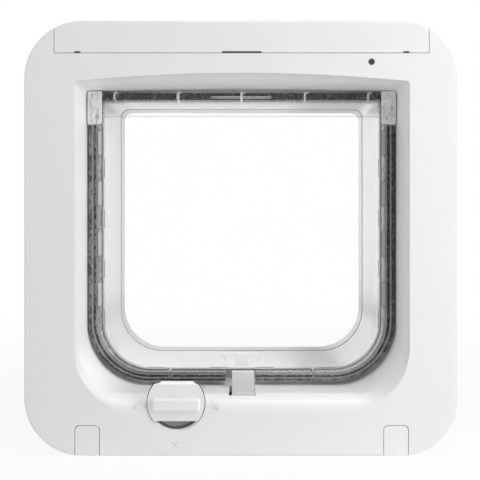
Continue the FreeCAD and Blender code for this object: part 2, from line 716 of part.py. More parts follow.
def brushRow(name, row, clipped):
    # one row of pile along the sides and foot, broken for the latch and perhaps the clips
    body = newBody("BrushRow")
    pileFront = baseFront - s.rowHeight
    pad(body, "Pile", [channel(row[0], row[1], sideTop, s.footShare)], pileFront, baseFront)
    cut(body, "Break", [rectangle(
        -(s.latchLeft + s.sealRoomLeft), s.latchRight + s.sealRoomRight,
        -(s.openingBottom + carrierReach + s.wall), -(s.openingBottom - s.wall))],
        pileFront, baseFront)
    if clipped:
        cut(body, "ClipBreaks", [clipOutline(side, s.fitGap) for side in (-1, 1)], pileFront,
            baseFront)
    node(body, name)


def brushTop():
    edges = [-s.openingHalf]
    for step in (-2, -1, 0, 1, 2):
        middle = step * bridgePitch
        room = s.bridgeWidth / 2 + s.fitGap
        edges += [middle - room, middle + room]
    edges.append(s.openingHalf)
    strips = [box("TopPile", (edges[i], edges[i + 1]), (baseFront - s.rowHeight, baseFront),
                  (topRowLow + s.fitGap, topRowHigh)) for i in range(0, len(edges), 2)]
    node(group("BrushTop", strips), "brush_top")


def magnetOutline(gap):
    foot = -(flapBottom - s.pocketFoot) + s.tabWidth
    return rectangle(-s.magnetWidth / 2 - gap, s.magnetWidth / 2 + gap, foot - gap,
                     foot + s.magnetHeight + gap)


def flapPanel():
    body = newBody("FlapPanel")
    paneFront = flapY - s.flapPane / 2
    rimFront = flapY - s.flapRim / 2
    pad(body, "Pane", [rectangle(-flapHalf, flapHalf, -flapBottom, pivotHeight,
                                 s.openingRadius - s.flapGap)],
        paneFront, paneFront + s.flapPane)
    pad(body, "Rim", [channel(-(s.flapGap + s.rimWidth), -s.flapGap,
                              pivotHeight - s.barrelRadius)], rimFront, rimFront + s.flapRim)
    padSide(body, "Barrel", [(flapY, pivotHeight, s.barrelRadius)], -flapHalf, flapHalf)
    pinReach = blockOuter - s.slideGap
    padSide(body, "Pins", [(flapY, pivotHeight, s.pinRadius)], -pinReach, pinReach)
    # castellations up both sides, and two at each side of the foot
    tabs = []
    for side in (-1, 1):
        left, right = ordered(side * flapHalf, side * (flapHalf - s.tabWidth))
        for step in range(tabCount):
            tabs.append(rectangle(left, right, tabMiddle(step) - s.tabLength / 2,
                                  tabMiddle(step) + s.tabLength / 2))
        for step in (0, 1):
            middle = side * (s.footTabPlace + s.footTabPitch * step)
            tabs.append(rectangle(middle - s.tabLength / 2, middle + s.tabLength / 2,
                                  -flapBottom, -flapBottom + s.tabWidth))
    for tab in tabs:
        pad(body, "Tab", [tab], rimFront - s.tabRise, rimFront)
    foot = -(flapBottom - s.pocketFoot)
    housing = [(-s.pocketFootHalf, foot), (s.pocketFootHalf, foot),
               (s.pocketTopHalf, foot + s.pocketHeight), (-s.pocketTopHalf, foot + s.pocketHeight)]
    pad(body, "MagnetHousing", [housing], paneFront - s.pocketRise, paneFront + s.flapPane / 2)
    cut(body, "MagnetSeat", [magnetOutline(s.fitGap)], paneFront - s.pocketRise, paneFront)
    node(body, "flap_panel")


def flapMagnet():
    body = newBody("FlapMagnet")
    paneFront = flapY - s.flapPane / 2
    pad(body, "Slab", [magnetOutline(origin)], paneFront - s.pocketRise + s.fitGap, paneFront)
    node(body, "flap_magnet")


def circuitBoard():
    boardFront, boardBack = faceBack + s.boardRoom, -(s.rearWall + s.boardRear)
    boardMiddle = (boardFront + boardBack) / 2
    board = box("Board", (-boardHalf, boardHalf), (boardFront, boardBack), (boardLow, boardTop))
    node(board, "circuit_board")
    reader = (s.readerSide, s.readerSide, s.readerHeight)
    driver = (s.driverLength, s.driverWidth, s.driverHeight)
    switch = (s.switchSide, s.switchSide, s.switchHeight)
    chips = []
    for step, (length, width, height) in ((-2, reader), (-1, driver), (0, switch), (1, driver),
                                          (2, driver)):
        middle = step * s.chipPitch
        chips.append(box("Chip", (middle - length / 2, middle + length / 2),
                         (boardMiddle - width / 2, boardMiddle + width / 2),
                         (boardTop, boardTop + height)))
    node(group("Chips", chips), "board_components")
    # lamp at the board's front edge, which shines through a round window
    domeFront = faceBack + s.slideGap
    lampFront = boardFront + s.lampRadius / 2
    lampBack = lampFront + s.lampRadius
    dome = cylinder("LampDome", turnToY, lampPlace, domeFront, lampHeight, s.lampDomeRadius,
                    lampBack - domeFront)
    base = box("LampBase", (lampPlace - s.lampRadius, lampPlace + s.lampRadius),
               (lampFront, lampBack), (boardTop, lampHeight + s.lampDomeRadius))
    node(fuse("Lamp", [dome, base]), "led")
    window = cylinder("LampWindow", turnToY, lampPlace, front, lampHeight, s.lampRadius, s.wall)
    node(window, "led_window")
    # button in the bay floor, whose stem ends just above the switch
    stemLow = boardTop + s.switchHeight + s.buttonTravel + s.nearGap
    headLow = bayFloorTop + s.buttonTravel + s.nearGap
    stem = cylinder("ButtonStem", upright, origin, boardMiddle, stemLow, s.buttonStem,
                    headLow + s.buttonHeight / 2 - stemLow)
    head = cylinder("ButtonHead", upright, origin, boardMiddle, headLow, s.buttonRadius,
                    s.buttonHeight)
    node(fuse("MemoryButton", [stem, head]), "memory_button")


def batteries():
    cells = []
    contacts = []
    height = bayFloorTop + s.cellRadius + s.nearGap
    for rowY in (faceBack + s.cellRadius + s.jointGap,
                 -(s.rearWall + s.cellRadius + s.jointGap * 2)):
        across = (rowY - s.cellNubRadius, rowY + s.cellNubRadius)
        upwards = (bayFloorTop, height + s.cellNubRadius)
        for side in (-1, 1):
            start = s.cellInner if side > 0 else -(s.cellInner + s.cellLength)
            nubStart = start + s.cellLength if side > 0 else start - s.cellNub
            can = cylinder("Can", turnToX, start, rowY, height, s.cellRadius, s.cellLength)
            nub = cylinder("Nub", turnToX, nubStart, rowY, height, s.cellNubRadius, s.cellNub)
            cells.append(fuse("Cell", [can, nub]))
            end = side * (bayHalf - s.contactDepth)
            contacts.append(box("EndContact", ordered(end, side * bayHalf), across, upwards))
            inner = s.cellInner - s.nearGap
            contacts.append(box("InnerContact", ordered(side * inner,
                                                        side * (inner - s.contactWall)),
                                across, upwards))
    node(group("Cells", cells), "batteries")
    node(group("Contacts", contacts), "battery_contacts")


pressureAngle = math.radians(20)


def unrolled(radius, base):
    # the angle that an involute has unrolled at a radius
    ratio = math.sqrt(max((radius / base) ** 2 - 1, 0))
    return ratio - math.atan(ratio)


def pinionShape():
    teeth = int(number(s.pinionTeeth))
    pitch = number(pitchRadius)
    base = pitch * math.cos(pressureAngle)
    root, tip = pitch - number(s.toothDepth), pitch + number(s.toothHeight)
    halfTooth = (math.pi * number(s.toothModule) / 2 - number(s.backlash)) / 2 / pitch
    atBase = halfTooth + unrolled(pitch, base)
    flankSteps = 4
    radii = [base + (tip - base) * step / flankSteps for step in range(flankSteps + 1)]
    rising = [(root, atBase)] + [(r, atBase - unrolled(r, base)) for r in radii]
    points = []
    for tooth in range(teeth):
        # a gap, and so no tooth, faces the rack at rest
        middle = math.pi + (tooth + 0.5) * 2 * math.pi / teeth
        points += [(r, middle - a) for r, a in rising]
        points += [(r, middle + a) for r, a in reversed(rising)]
    x0, z0 = number(pinionPlace), -number(pinionHeight)
    low, high = number(latchFront), number(latchBack)
    corners = [FreeCAD.Vector(x0 + r * math.cos(a), low, z0 + r * math.sin(a)) for r, a in points]
    face = Part.Face(Part.makePolygon(corners + corners[:1]))
    wheel = face.extrude(FreeCAD.Vector(0, high - low, 0))
    bore = Part.makeCylinder(number(s.axleRadius + s.fitGap), high - low,
                             FreeCAD.Vector(x0, low, z0), FreeCAD.Vector(0, 1, 0))
    return wheel.cut(bore)


def rackShape():
    pitch = math.pi * number(s.toothModule)
    root = number(s.stemRight)
    line = root + number(s.toothDepth)
    tip = line + number(s.toothHeight)
    inside = root - number(s.rackRoot)
    slope = math.tan(pressureAngle)
    halfTooth = (pitch / 2 - number(s.backlash)) / 2
    foot, crest = halfTooth + (line - root) * slope, halfTooth - (tip - line) * slope
    low, high = number(latchFront), number(latchBack)
    teeth = []
    reach = int(number(s.latchTravel) / pitch) + 1
    for step in range(-reach, 2):
        middle = -number(pinionHeight) + step * pitch
        corners = [(inside, -foot), (root, -foot), (tip, -crest), (tip, crest), (root, foot),
                   (inside, foot)]
        points = [FreeCAD.Vector(x, low, middle + z) for x, z in corners]
        face = Part.Face(Part.makePolygon(points + points[:1]))
        teeth.append(face.extrude(FreeCAD.Vector(0, high - low, 0)))
    return Part.makeCompound(teeth)


def latch():
    rack = doc.addObject("Part::Feature", "Rack")
    rack.Shape = rackShape()
    footLow = -(footTop + s.footWall)
    finger = box("Finger", (-s.latchLeft, s.latchRight), (latchFront, latchBack),
                 (footLow, -latchTop))
    foot = box("Foot", (-s.latchLeft, s.latchRight), (latchFront - s.footReach, latchBack),
               (footLow, -footTop))
    stem = box("Stem", (-s.stemLeft, s.stemRight), (latchFront, latchBack),
               (-stemFoot, -footTop))
    node(fuse("Latch", [finger, foot, stem, rack]), "latch")


def latchDrive():
    pinion = doc.addObject("Part::Feature", "MotorPinion")
    pinion.Shape = pinionShape()
    node(pinion, "motor_pinion")
    can = cylinder("MotorCan", turnToY, pinionPlace, motorFront, -pinionHeight, s.motorRadius,
                   s.motorLength)
    nose = cylinder("MotorNose", turnToY, pinionPlace, motorBack, -pinionHeight, s.motorNose,
                    s.wall / 3)
    axle = cylinder("MotorAxle", turnToY, pinionPlace, motorBack, -pinionHeight, s.axleRadius,
                    latchBack - motorBack)
    node(fuse("LockMotor", [can, nose, axle]), "lock_motor")
    # block that holds the motor and guides the latch's stem
    toothReach = s.toothDepth + s.toothHeight + s.slideGap
    block = box("LockBlock", (-(s.stemLeft + s.lockLeftWall),
                              pinionPlace + s.motorRadius + s.lockSide),
                (motorFront, trayBack), (-lockFoot, -lockTop))
    guide = box("StemGuide", (-(s.stemLeft + s.slideGap), s.stemRight + toothReach),
                (latchFront - s.slideGap, latchBack + s.slideGap),
                (-(stemFoot + s.slideGap * 2), -lockTop + s.wall))
    gearRoom = cylinder("PinionRoom", turnToY, pinionPlace, latchFront - s.slideGap,
                        -pinionHeight, pitchRadius + s.toothHeight + s.slideGap,
                        s.latchWall + s.slideGap * 2)
    motorRoom = cylinder("MotorRoom", turnToY, pinionPlace, motorFront, -pinionHeight,
                         s.motorRadius + s.nearGap, s.motorLength)
    shaftRoom = cylinder("ShaftRoom", turnToY, pinionPlace, motorFront, -pinionHeight,
                         s.motorNose + s.nearGap, latchFront - motorFront)
    node(minus("LockHousing", block, [guide, gearRoom, motorRoom, shaftRoom]), "lock_housing")


def knob():
    knobFront = front - s.knobProud
    coneBack = knobFront + s.knobConeDepth
    drumBack = latchBack - s.camWall - s.camRoom - s.wellWall - s.wellGap
    x, z = -s.knobPlace, -knobHeight
    wide = s.knobRadius * 2
    cone = cylinder("KnobCone", turnToY, x, knobFront, z, s.knobRadius, s.knobConeDepth,
                    s.drumRadius)
    drum = cylinder("KnobDrum", turnToY, x, coneBack, z, s.drumRadius, drumBack - coneBack)
    # flats above and below, and the drum's top level with the floor of the recess
    above = box("KnobTopCut", (x - wide, x + wide),
                (knobFront - s.wall, coneBack + s.drumShoulder), (z + s.knobFlat, z + wide))
    behind = box("KnobBackCut", (x - wide, x + wide),
                 (coneBack + s.drumShoulder, drumBack + s.wall), (z + s.knobDrop, z + wide))
    below = box("KnobFootCut", (x - wide, x + wide), (knobFront - s.wall, coneBack),
                (z - wide, z - s.knobFlat))
    grip = newBody("KnobGrip")
    gripFront = knobFront - s.gripRise
    gripMiddle = z - s.gripDrop
    pad(grip, "Bar", [rectangle(x - s.gripHalf, x + s.gripHalf, gripMiddle - s.gripHeight,
                                gripMiddle + s.gripHeight, s.gripRound, s.gripRound)],
        gripFront, knobFront + s.wall)
    roundFace(grip, "BarEdge", gripFront, s.gripRound)
    arrow = newBody("KnobArrow")
    arrowLow = gripMiddle + s.gripHeight + s.arrowGap
    pad(arrow, "Arrow", [[(x - s.arrowHalf, arrowLow), (x + s.arrowHalf, arrowLow),
                          (x, arrowLow + s.arrowHeight)]],
        knobFront - s.slideGap, knobFront + s.slideGap)
    bore = cylinder("DialBore", turnToY, x, coneBack, z, s.shaftRadius + s.shaftGap,
                    drumBack - coneBack)
    solid = fuse("KnobSolid", [cone, drum, grip, arrow])
    dial = minus("KnobDial", solid, [above, behind, below, bore])
    node(dial, "lock_knob")
    # cam at the end of the shaft, which stands in front of the flap once turned up
    camFront = latchBack - s.camWall
    shaft = cylinder("CamShaft", turnToY, x, coneBack, z, s.shaftRadius, latchBack - coneBack)
    quarter = 90
    aim = FreeCAD.Rotation(FreeCAD.Vector(0, 0, 1), quarter - number(s.camHalfAngle))
    lobe = cylinder("CamLobe", turnToY.multiply(aim), x, camFront, z, camRadius, s.camWall)
    bind(lobe, "Angle", s.camHalfAngle * 2)
    hub = cylinder("CamHub", turnToY, x, camFront, z, s.shaftRadius + s.slideGap, s.camWall)
    node(fuse("LockCam", [shaft, lobe, hub]), "lock_cam")


def fasteners():
    long = []
    for x, z in lowScrews + highScrews:
        head = cylinder("Head", turnToY, x, -(s.bossFront + s.headHeight), z, s.headRadius,
                        s.headHeight)
        shank = cylinder("Shank", turnToY, x, -s.bossFront, z, s.screwRadius,
                         s.bossFront + outerBack - s.wall * 2)
        long.append(fuse("MountingScrew", [head, shank]))
    node(group("MountingScrews", long), "mounting_screws")
    small = []
    for x, z in smallScrews:
        headFront = -(s.smallHeadHeight + s.jointGap)
        tip = -(s.rearWall + s.smallScrewLength - s.smallScrewShort)
        head = cylinder("SmallHead", turnToY, x, headFront, z, s.smallHeadRadius,
                        s.smallHeadHeight)
        shank = cylinder("SmallShank", turnToY, x, tip, z, s.smallScrewRadius,
                         headFront + s.jointGap - tip)
        small.append(fuse("HousingScrew", [head, shank]))
    node(group("HousingScrews", small), "housing_screws")


def outerFrame():
    body = newBody("OuterFrame")
    inner = s.tunnelWall + s.sleeveGap
    outer = inner + s.sleeveWall
    pad(body, "Block", [housingOutline(origin), around(origin)], s.doorGap, outerBack)
    roundFace(body, "BackEdge", outerBack, s.outerRound)
    cut(body, "Hollow", [housingOutline(s.wall), around(outer)], s.doorGap, outerBack - s.wall)
    pad(body, "Sleeve", [around(outer), around(inner)], sleeveStart, s.doorGap + s.wall)
    for x, z in lowScrews + highScrews:
        pad(body, "Boss", [(x, z, s.bossRadius)], s.doorGap, outerBack - s.wall / 2)
        cut(body, "ScrewHole", [(x, z, s.screwRadius + s.fitGap)], s.doorGap, outerBack - s.wall)
    node(body, "outer_frame")


innerFrame()
rearCover()
batteryCover()
screwCover(lowScrews[0], "screw_cover_left")
screwCover(lowScrews[1], "screw_cover_right")
tunnel()
antennaCoil()
coilCover()
sealCarrier()
brushRow("brush_inner", rowOne, True)
brushRow("brush_middle", rowTwo, True)
brushRow("brush_outer", rowThree, False)
brushTop()
flapPanel()
flapMagnet()
circuitBoard()
batteries()
latch()
latchDrive()
knob()
fasteners()
outerFrame()
doc.recompute()

for thing in doc.Objects:
    if "Invalid" in thing.State or "Error" in thing.State:
        raise RuntimeError("%s (%s) failed" % (thing.Name, thing.Label))

os.makedirs("parts", exist_ok=True)
for thing in nodes:
    if thing.Shape.isNull() or not thing.Shape.isValid():
        raise RuntimeError("%s has no valid shape" % thing.Label)
    thing.Shape.exportStep("parts/%s.step" % thing.Label)
    extent = thing.Shape.BoundBox
    print("%-18s %d solids, volume %.0f, X %.1f to %.1f, Y %.1f to %.1f, Z %.1f to %.1f" % (
        thing.Label, len(thing.Shape.Solids), thing.Shape.Volume, extent.XMin, extent.XMax,
        extent.YMin, extent.YMax, extent.ZMin, extent.ZMax))
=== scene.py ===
import bmesh
import bpy
import math
import numpy as np
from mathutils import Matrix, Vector


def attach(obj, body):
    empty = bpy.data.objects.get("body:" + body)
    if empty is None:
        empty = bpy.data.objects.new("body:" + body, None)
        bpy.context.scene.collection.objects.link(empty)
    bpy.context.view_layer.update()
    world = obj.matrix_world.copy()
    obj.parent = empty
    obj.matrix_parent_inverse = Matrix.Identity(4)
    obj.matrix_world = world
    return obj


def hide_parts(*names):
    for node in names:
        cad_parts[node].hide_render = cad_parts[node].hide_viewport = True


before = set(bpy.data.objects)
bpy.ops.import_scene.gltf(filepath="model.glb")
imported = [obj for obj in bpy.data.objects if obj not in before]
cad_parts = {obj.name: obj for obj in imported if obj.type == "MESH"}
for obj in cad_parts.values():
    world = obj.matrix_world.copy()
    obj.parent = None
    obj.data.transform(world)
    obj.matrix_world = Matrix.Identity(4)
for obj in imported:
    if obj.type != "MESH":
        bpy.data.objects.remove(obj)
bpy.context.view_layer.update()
scene = bpy.context.scene
mm = 0.001
print("frame loaded:", len(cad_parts), "nodes")


# shader helpers: Wire is one socket that takes part in sums, Finish is one material

class Wire:
    def __init__(self, finish, socket):
        self.finish = finish
        self.socket = socket

    def maths(self, operation, other, swapped=False):
        first, second = (other, self) if swapped else (self, other)
        return self.finish.node("ShaderNodeMath", {"operation": operation},
                                {0: first, 1: second})

    def __add__(self, other):
        return self.maths("ADD", other)

    def __radd__(self, other):
        return self.maths("ADD", other, swapped=True)

    def __sub__(self, other):
        return self.maths("SUBTRACT", other)

    def __rsub__(self, other):
        return self.maths("SUBTRACT", other, swapped=True)

    def __mul__(self, other):
        return self.maths("MULTIPLY", other)

    def __rmul__(self, other):
        return self.maths("MULTIPLY", other, swapped=True)

    def __pow__(self, other):
        return self.maths("POWER", other)

    def __gt__(self, other):
        return self.maths("GREATER_THAN", other)


class Finish:
    def __init__(self, tree, shader=None):
        self.tree = tree
        self.shader = shader

    def node(self, kind, settings=None, inputs=None, out=0):
        made = self.tree.nodes.new(kind)
        for name, value in (settings or {}).items():
            if name == "stops":
                self.fillRamp(made.color_ramp, value)
            else:
                setattr(made, name, value)
        for name, value in (inputs or {}).items():
            self.feed(made.inputs[name], value)
        return None if out is None else Wire(self, made.outputs[out])

    def fillRamp(self, ramp, stops):
        while len(ramp.elements) < len(stops):
            ramp.elements.new(0.5)
        for element, (position, colour) in zip(ramp.elements, stops):
            element.position = position
            element.color = (*colour, 1)

    def feed(self, socket, value):
        if isinstance(value, Wire):
            self.tree.links.new(value.socket, socket)
        elif hasattr(socket.default_value, "__len__") and len(value) == 3 and len(
                socket.default_value) == 4:
            socket.default_value = (*value, 1)
        else:
            socket.default_value = value

    def set(self, **values):
        for name, value in values.items():
            self.feed(self.shader.inputs[name.replace("_", " ")], value)

    # where a point lies on the piece, in metres, stretched by a scale along each axis
    def place(self, scale=(1, 1, 1)):
        at = self.node("ShaderNodeTexCoord", out="Object")
        if scale == (1, 1, 1):
            return at
        return self.node("ShaderNodeVectorMath", {"operation": "MULTIPLY"}, {0: at, 1: scale})

    # the same place as three values: across, deep and up
    def places(self):
        split = self.node("ShaderNodeSeparateXYZ", None, {0: self.place()}, out=0)
        return [Wire(self, split.socket.node.outputs[k]) for k in range(3)]

    def noise(self, scale, detail=2, stretch=(1, 1, 1), roughness=0.5):
        return self.node("ShaderNodeTexNoise", None,
                         {"Vector": self.place(stretch), "Scale": scale, "Detail": detail,
                          "Roughness": roughness}, out="Fac")

    def blend(self, mask, first, second):
        return self.node("ShaderNodeMix", {"data_type": "RGBA"}, {0: mask, 6: first, 7: second},
                         out=2)

    def bump(self, height, strength, depth):
        self.set(Normal=self.node("ShaderNodeBump", None, {
            "Height": height, "Strength": strength, "Distance": depth}, out="Normal"))


def newFinish(name):
    material = bpy.data.materials.new(name)
    material.use_nodes = True
    return material, Finish(material.node_tree, material.node_tree.nodes["Principled BSDF"])


def linear(*colour):
    # a colour written as 0 to 255, as a picture shows it
    return tuple(c / 255 / 12.92 if c < 10.3 else ((c / 255 + 0.055) / 1.055) ** 2.4
                 for c in colour)


# finishes

plastics = {
    # name: colour, roughness, grain scale per metre, grain strength, how much the tone varies and,
    # for the housing, the paler colour painted into its recess as painted light
    "housingWhite": dict(colour=(238, 238, 238), rough=0.36, grain=2600, strength=0.10, vary=0.02,
                         paintedRecessColour=(252, 252, 252)),
    "tunnelWhite": dict(colour=(241, 241, 240), rough=0.32, grain=1900, strength=0.06, vary=0.02),
    "outerWhite": dict(colour=(238, 238, 237), rough=0.36, grain=2600, strength=0.10, vary=0.02),
    "latchPlastic": dict(colour=(216, 216, 215), rough=0.34, grain=3200, strength=0.06, vary=0.03),
    "knobPlastic": dict(colour=(240, 240, 240), rough=0.30, grain=3400, strength=0.05, vary=0.02),
    "lockPlastic": dict(colour=(149, 149, 151), rough=0.42, grain=2400, strength=0.12, vary=0.04),
    # painted shade: the grey of the sheet in the dial's well, which stands for the shadow there
    "paintedWellShade": dict(colour=(104, 102, 101), rough=0.6, grain=2400, strength=0.12, vary=0.06),
    "gearPlastic": dict(colour=(222, 214, 196), rough=0.38, grain=3600, strength=0.05, vary=0.04),
}

# in metres: how far from the middle the recess reaches, and the depths its painted light, a paler
# tone, sets in at
paintedRecessZone = {"reach": 0.0885, "front": -0.0358, "deep": -0.031}
# in metres: the heights that part the rows of the seal into head, columns and foot, and where
# along the foot its right end, painted paler as painted light, begins
sealPaintedLightZones = {"head": 0.06, "columns": -0.05, "foot": -0.06, "rightEnd": 0.008}


def mouldedPlastic(name, colour, rough, grain, strength, vary, paintedRecessColour=None):
    material, finish = newFinish(name)
    tone = linear(*colour)
    shade = tuple(c * (1 - vary) for c in tone)
    warm = (tone[0], tone[1] * (1 - vary * 0.2), tone[2] * (1 - vary * 0.6))
    cloud = finish.noise(38, 3)             # slow drift of the tone over the moulding
    speck = finish.noise(grain, 2)          # spark-eroded grain of the tool
    flow = finish.noise(90, 2, (1, 1, 0.25))  # faint flow lines
    colourMix = finish.blend(cloud, finish.blend(flow, shade, warm), tone)
    if paintedRecessColour:
        # the walls of the recess are painted paler, because the photo's light fills them more
        # than these lamps do
        across, depth, height = finish.places()
        reach = finish.node("ShaderNodeMath", {"operation": "MAXIMUM"},
                            {0: across * across, 1: height * height})
        deep = finish.node("ShaderNodeMapRange", None, {
            "Value": depth, "From Min": paintedRecessZone["front"], "From Max": paintedRecessZone["deep"]},
            out="Result")
        inside = 1 - (reach > paintedRecessZone["reach"] ** 2)
        colourMix = finish.blend(inside * deep, colourMix, linear(*paintedRecessColour))
    finish.set(Base_Color=colourMix, Roughness=speck * 0.10 + cloud * 0.06 + (rough - 0.08),
               IOR=1.49)
    finish.bump(speck + flow * 0.5, strength, 0.00006)
    return material


clears = {
    "clearFlap": dict(tint=(196, 196, 194), rough=0.10, low=0.0, high=0.75, power=2.4),
    "clearSeal": dict(tint=(218, 216, 214), rough=0.12, low=0.26, high=0.92, power=2.0,
                      paintedFootShade=0.14),
    "clearGlass": dict(tint=(254, 254, 253), rough=0.05, low=0.74, high=0.97, power=1.0,
                       paintedBentStreaks=0.5),
    "clearPad": dict(tint=(226, 225, 223), rough=0.08, low=0.60, high=0.95, power=1.0),
    # painted shade: a darker copy of clearPad for the pads on the right, which lie in shade
    "clearPadPaintedShade": dict(tint=(196, 195, 193), rough=0.08, low=0.55, high=0.95, power=1.0),
    # painted shade: dark lines that stand for light bent away at the rims of clear parts
    "paintedEdgeShade": dict(tint=(132, 129, 127), rough=0.10, low=0.55, high=0.85, power=1.0),
    # painted highlight: a pale clear finish whose brightness paints the glints of small clear
    # pieces
    "clearGlint": dict(tint=(247, 247, 246), rough=0.06, low=0.55, high=0.95, power=1.2),
    "lampLens": dict(tint=(70, 74, 78), rough=0.12, low=0.80, high=0.95, power=2.0),
}


def clearPlastic(name, tint, rough, low, high, power, paintedBentStreaks=0, paintedFootShade=0):
    # shows what is behind it, less so where it is seen edge on
    material, finish = newFinish(name)
    facing = finish.node("ShaderNodeLayerWeight", None, {"Blend": 0.5}, out="Facing")
    haze = finish.noise(60, 3)
    fine = finish.noise(700, 2)
    tone = linear(*tint)
    warm = (tone[0], tone[1] * 0.99, tone[2] * 0.97)
    colourMix = finish.blend(haze, tone, warm)
    if paintedBentStreaks:
        # painted reflection: dark streaks in the colour, for bent bits of what lies round the thick
        # clear walls
        bent = finish.noise(420, 3, (1, 1, 0.28), 0.6)
        colourMix = finish.blend((bent > 0.6) * paintedBentStreaks, colourMix, linear(128, 126, 125))
    base = haze * 0.012 + low
    if paintedFootShade:
        # painted shade: the seal is made clearer here, so the dark rows behind show darker
        # clearer along the left half of the foot, where the photo shows the rows darker
        across, _, height = finish.places()
        leftOfFoot = (1 - (height > sealPaintedLightZones["foot"])) * (1 - (across > sealPaintedLightZones["rightEnd"]))
        base = base - leftOfFoot * paintedFootShade
    finish.set(Base_Color=colourMix, Roughness=fine * 0.08 + rough,
               Alpha=(facing ** power) * (high - low) + base, IOR=1.49)
    finish.bump(haze + fine * 0.2, 0.12, 0.0002)
    return material


def pileFinish():
    material, finish = newFinish("brushPile")
    each = finish.node("ShaderNodeNewGeometry", out="Random Per Island")
    tuft = finish.noise(1000, 2, (1, 0.3, 0.6))  # hairs that stick together
    dust = finish.noise(160, 3)
    # painted light thrown by the clear pads: paler beside each castellation of the lip, up to where
    # the pivot blocks begin
    across, _, height = finish.places()
    belowHead = 1 - (height > sealPaintedLightZones["head"])
    beside = finish.node("ShaderNodeMath", {"operation": "PINGPONG"},
                         {0: height + 0.1463, 1: 0.013})
    paintedPadLight = (beside > 0.0068) * belowHead * (1 - (across > 0))
    # painted light and shade: the rows painted paler where the light falls on them and darker in
    # its shade
    # the photo shows the left rows and the right end of the foot paler, the right rows darker
    column = (height > sealPaintedLightZones["columns"]) * belowHead * (across * -2.6 + 0.03)
    foot = (1 - (height > sealPaintedLightZones["foot"])) * ((across > sealPaintedLightZones["rightEnd"]) * 0.36 - 0.06)
    paintedHairGlints = (each > 0.93) * 0.6               # single hairs painted pale as painted glints
    hair = finish.node("ShaderNodeValToRGB", {"stops": [
        (0, linear(38, 34, 33)), (0.4, linear(78, 73, 72)), (0.7, linear(122, 117, 116)),
        (0.88, linear(176, 173, 173)), (1, linear(226, 224, 224))]}, {
        "Fac": each * 0.6 + tuft * 2.1 + paintedPadLight * 0.26 + column + foot + paintedHairGlints - 0.88}, out="Color")
    finish.set(Base_Color=finish.blend(dust * 0.5, hair, linear(52, 48, 47)),
               Roughness=each * 0.2 + 0.34, Sheen_Weight=0.3)
    finish.bump(finish.noise(5200, 2), 0.3, 0.00008)
    return material


def steelFinish(name, tone, rough):
    material, finish = newFinish(name)
    brushed = finish.noise(900, 3, (1, 0.08, 1))
    stain = finish.noise(120, 3)
    finish.set(Base_Color=finish.blend(stain, linear(*tone),
                                       tuple(c * 0.82 for c in linear(*tone))),
               Metallic=1.0, Roughness=brushed * 0.18 + (rough - 0.06))
    finish.bump(brushed, 0.15, 0.00005)
    return material


def magnetFinish():
    # paler than the record's nickel, because the photo hardly shows the magnet
    material, finish = newFinish("magnetCeramic")
    grain = finish.noise(1600, 4)
    finish.set(Base_Color=finish.blend(grain, linear(232, 233, 234), linear(243, 243, 244)),
               Metallic=0.2, Roughness=grain * 0.2 + 0.3)
    finish.bump(grain, 0.2, 0.00005)
    return material


def copperFinish():
    material, finish = newFinish("coilCopper")
    turns = finish.node("ShaderNodeTexWave", {"wave_type": "BANDS", "bands_direction": "Y"},
                        {"Vector": finish.place(), "Scale": 520, "Distortion": 0.6,
                         "Detail": 1.0}, out="Fac")
    drift = finish.noise(70, 2)
    finish.set(Base_Color=finish.blend(turns, linear(96, 44, 22), finish.blend(
        drift, linear(196, 112, 66), linear(214, 134, 82))), Metallic=0.9,
        Roughness=0.42 - turns * 0.14)
    finish.bump(turns, 0.6, 0.0002)
    return material


def boardFinish():
    material, finish = newFinish("boardGreen")
    tracks = finish.node("ShaderNodeTexBrick", {"offset": 0.5}, {
        "Vector": finish.place(), "Scale": 210.0, "Mortar Size": 0.03,
        "Color1": (1, 1, 1, 1), "Color2": (0.8, 0.8, 0.8, 1), "Mortar": (0, 0, 0, 1)}, out="Fac")
    weave = finish.noise(1500, 2)
    finish.set(Base_Color=finish.blend(tracks, finish.blend(
        weave, linear(18, 92, 52), linear(26, 110, 64)), linear(58, 140, 84)),
        Roughness=weave * 0.15 + 0.28)
    finish.bump(tracks, 0.25, 0.00008)
    return material


def darkFinish(name, grainScale, rough):
    material, finish = newFinish(name)
    grain = finish.noise(grainScale, 3)
    finish.set(Base_Color=finish.blend(grain, linear(30, 30, 32), linear(46, 46, 48)),
               Roughness=grain * 0.2 + rough)
    finish.bump(grain, 0.3, 0.00005)
    return material


def sleeveFinish():
    # printed foil sleeve of a cell: a dark body with a paler band near one end
    material, finish = newFinish("cellSleeve")
    along = finish.places()[0]
    bands = finish.node("ShaderNodeMath", {"operation": "PINGPONG"}, {0: along + 0.2, 1: 0.0305})
    band = bands > 0.0235
    scuff = finish.noise(240, 3)
    finish.set(Base_Color=finish.blend(band, finish.blend(
        scuff, linear(52, 56, 62), linear(66, 70, 76)), linear(176, 148, 92)),
        Metallic=0.45, Roughness=scuff * 0.2 + 0.25)
    finish.bump(scuff, 0.08, 0.0001)
    return material


finishes = {name: mouldedPlastic(name, **values) for name, values in plastics.items()}
finishes.update({name: clearPlastic(name, **values) for name, values in clears.items()})
finishes["brushPile"] = pileFinish()
finishes["screwSteel"] = steelFinish("screwSteel", (190, 192, 196), 0.30)
finishes["motorCan"] = steelFinish("motorCan", (168, 170, 174), 0.38)
finishes["contactNickel"] = steelFinish("contactNickel", (206, 202, 192), 0.26)
finishes["magnetCeramic"] = magnetFinish()
finishes["coilCopper"] = copperFinish()
finishes["boardGreen"] = boardFinish()
finishes["chipBlack"] = darkFinish("chipBlack", 2400, 0.45)
# painted shade: the dark of the thin arcs that stand for the dial's shaded gap
finishes["paintedGapShade"] = darkFinish("paintedGapShade", 5200, 0.66)
finishes["cellSleeve"] = sleeveFinish()

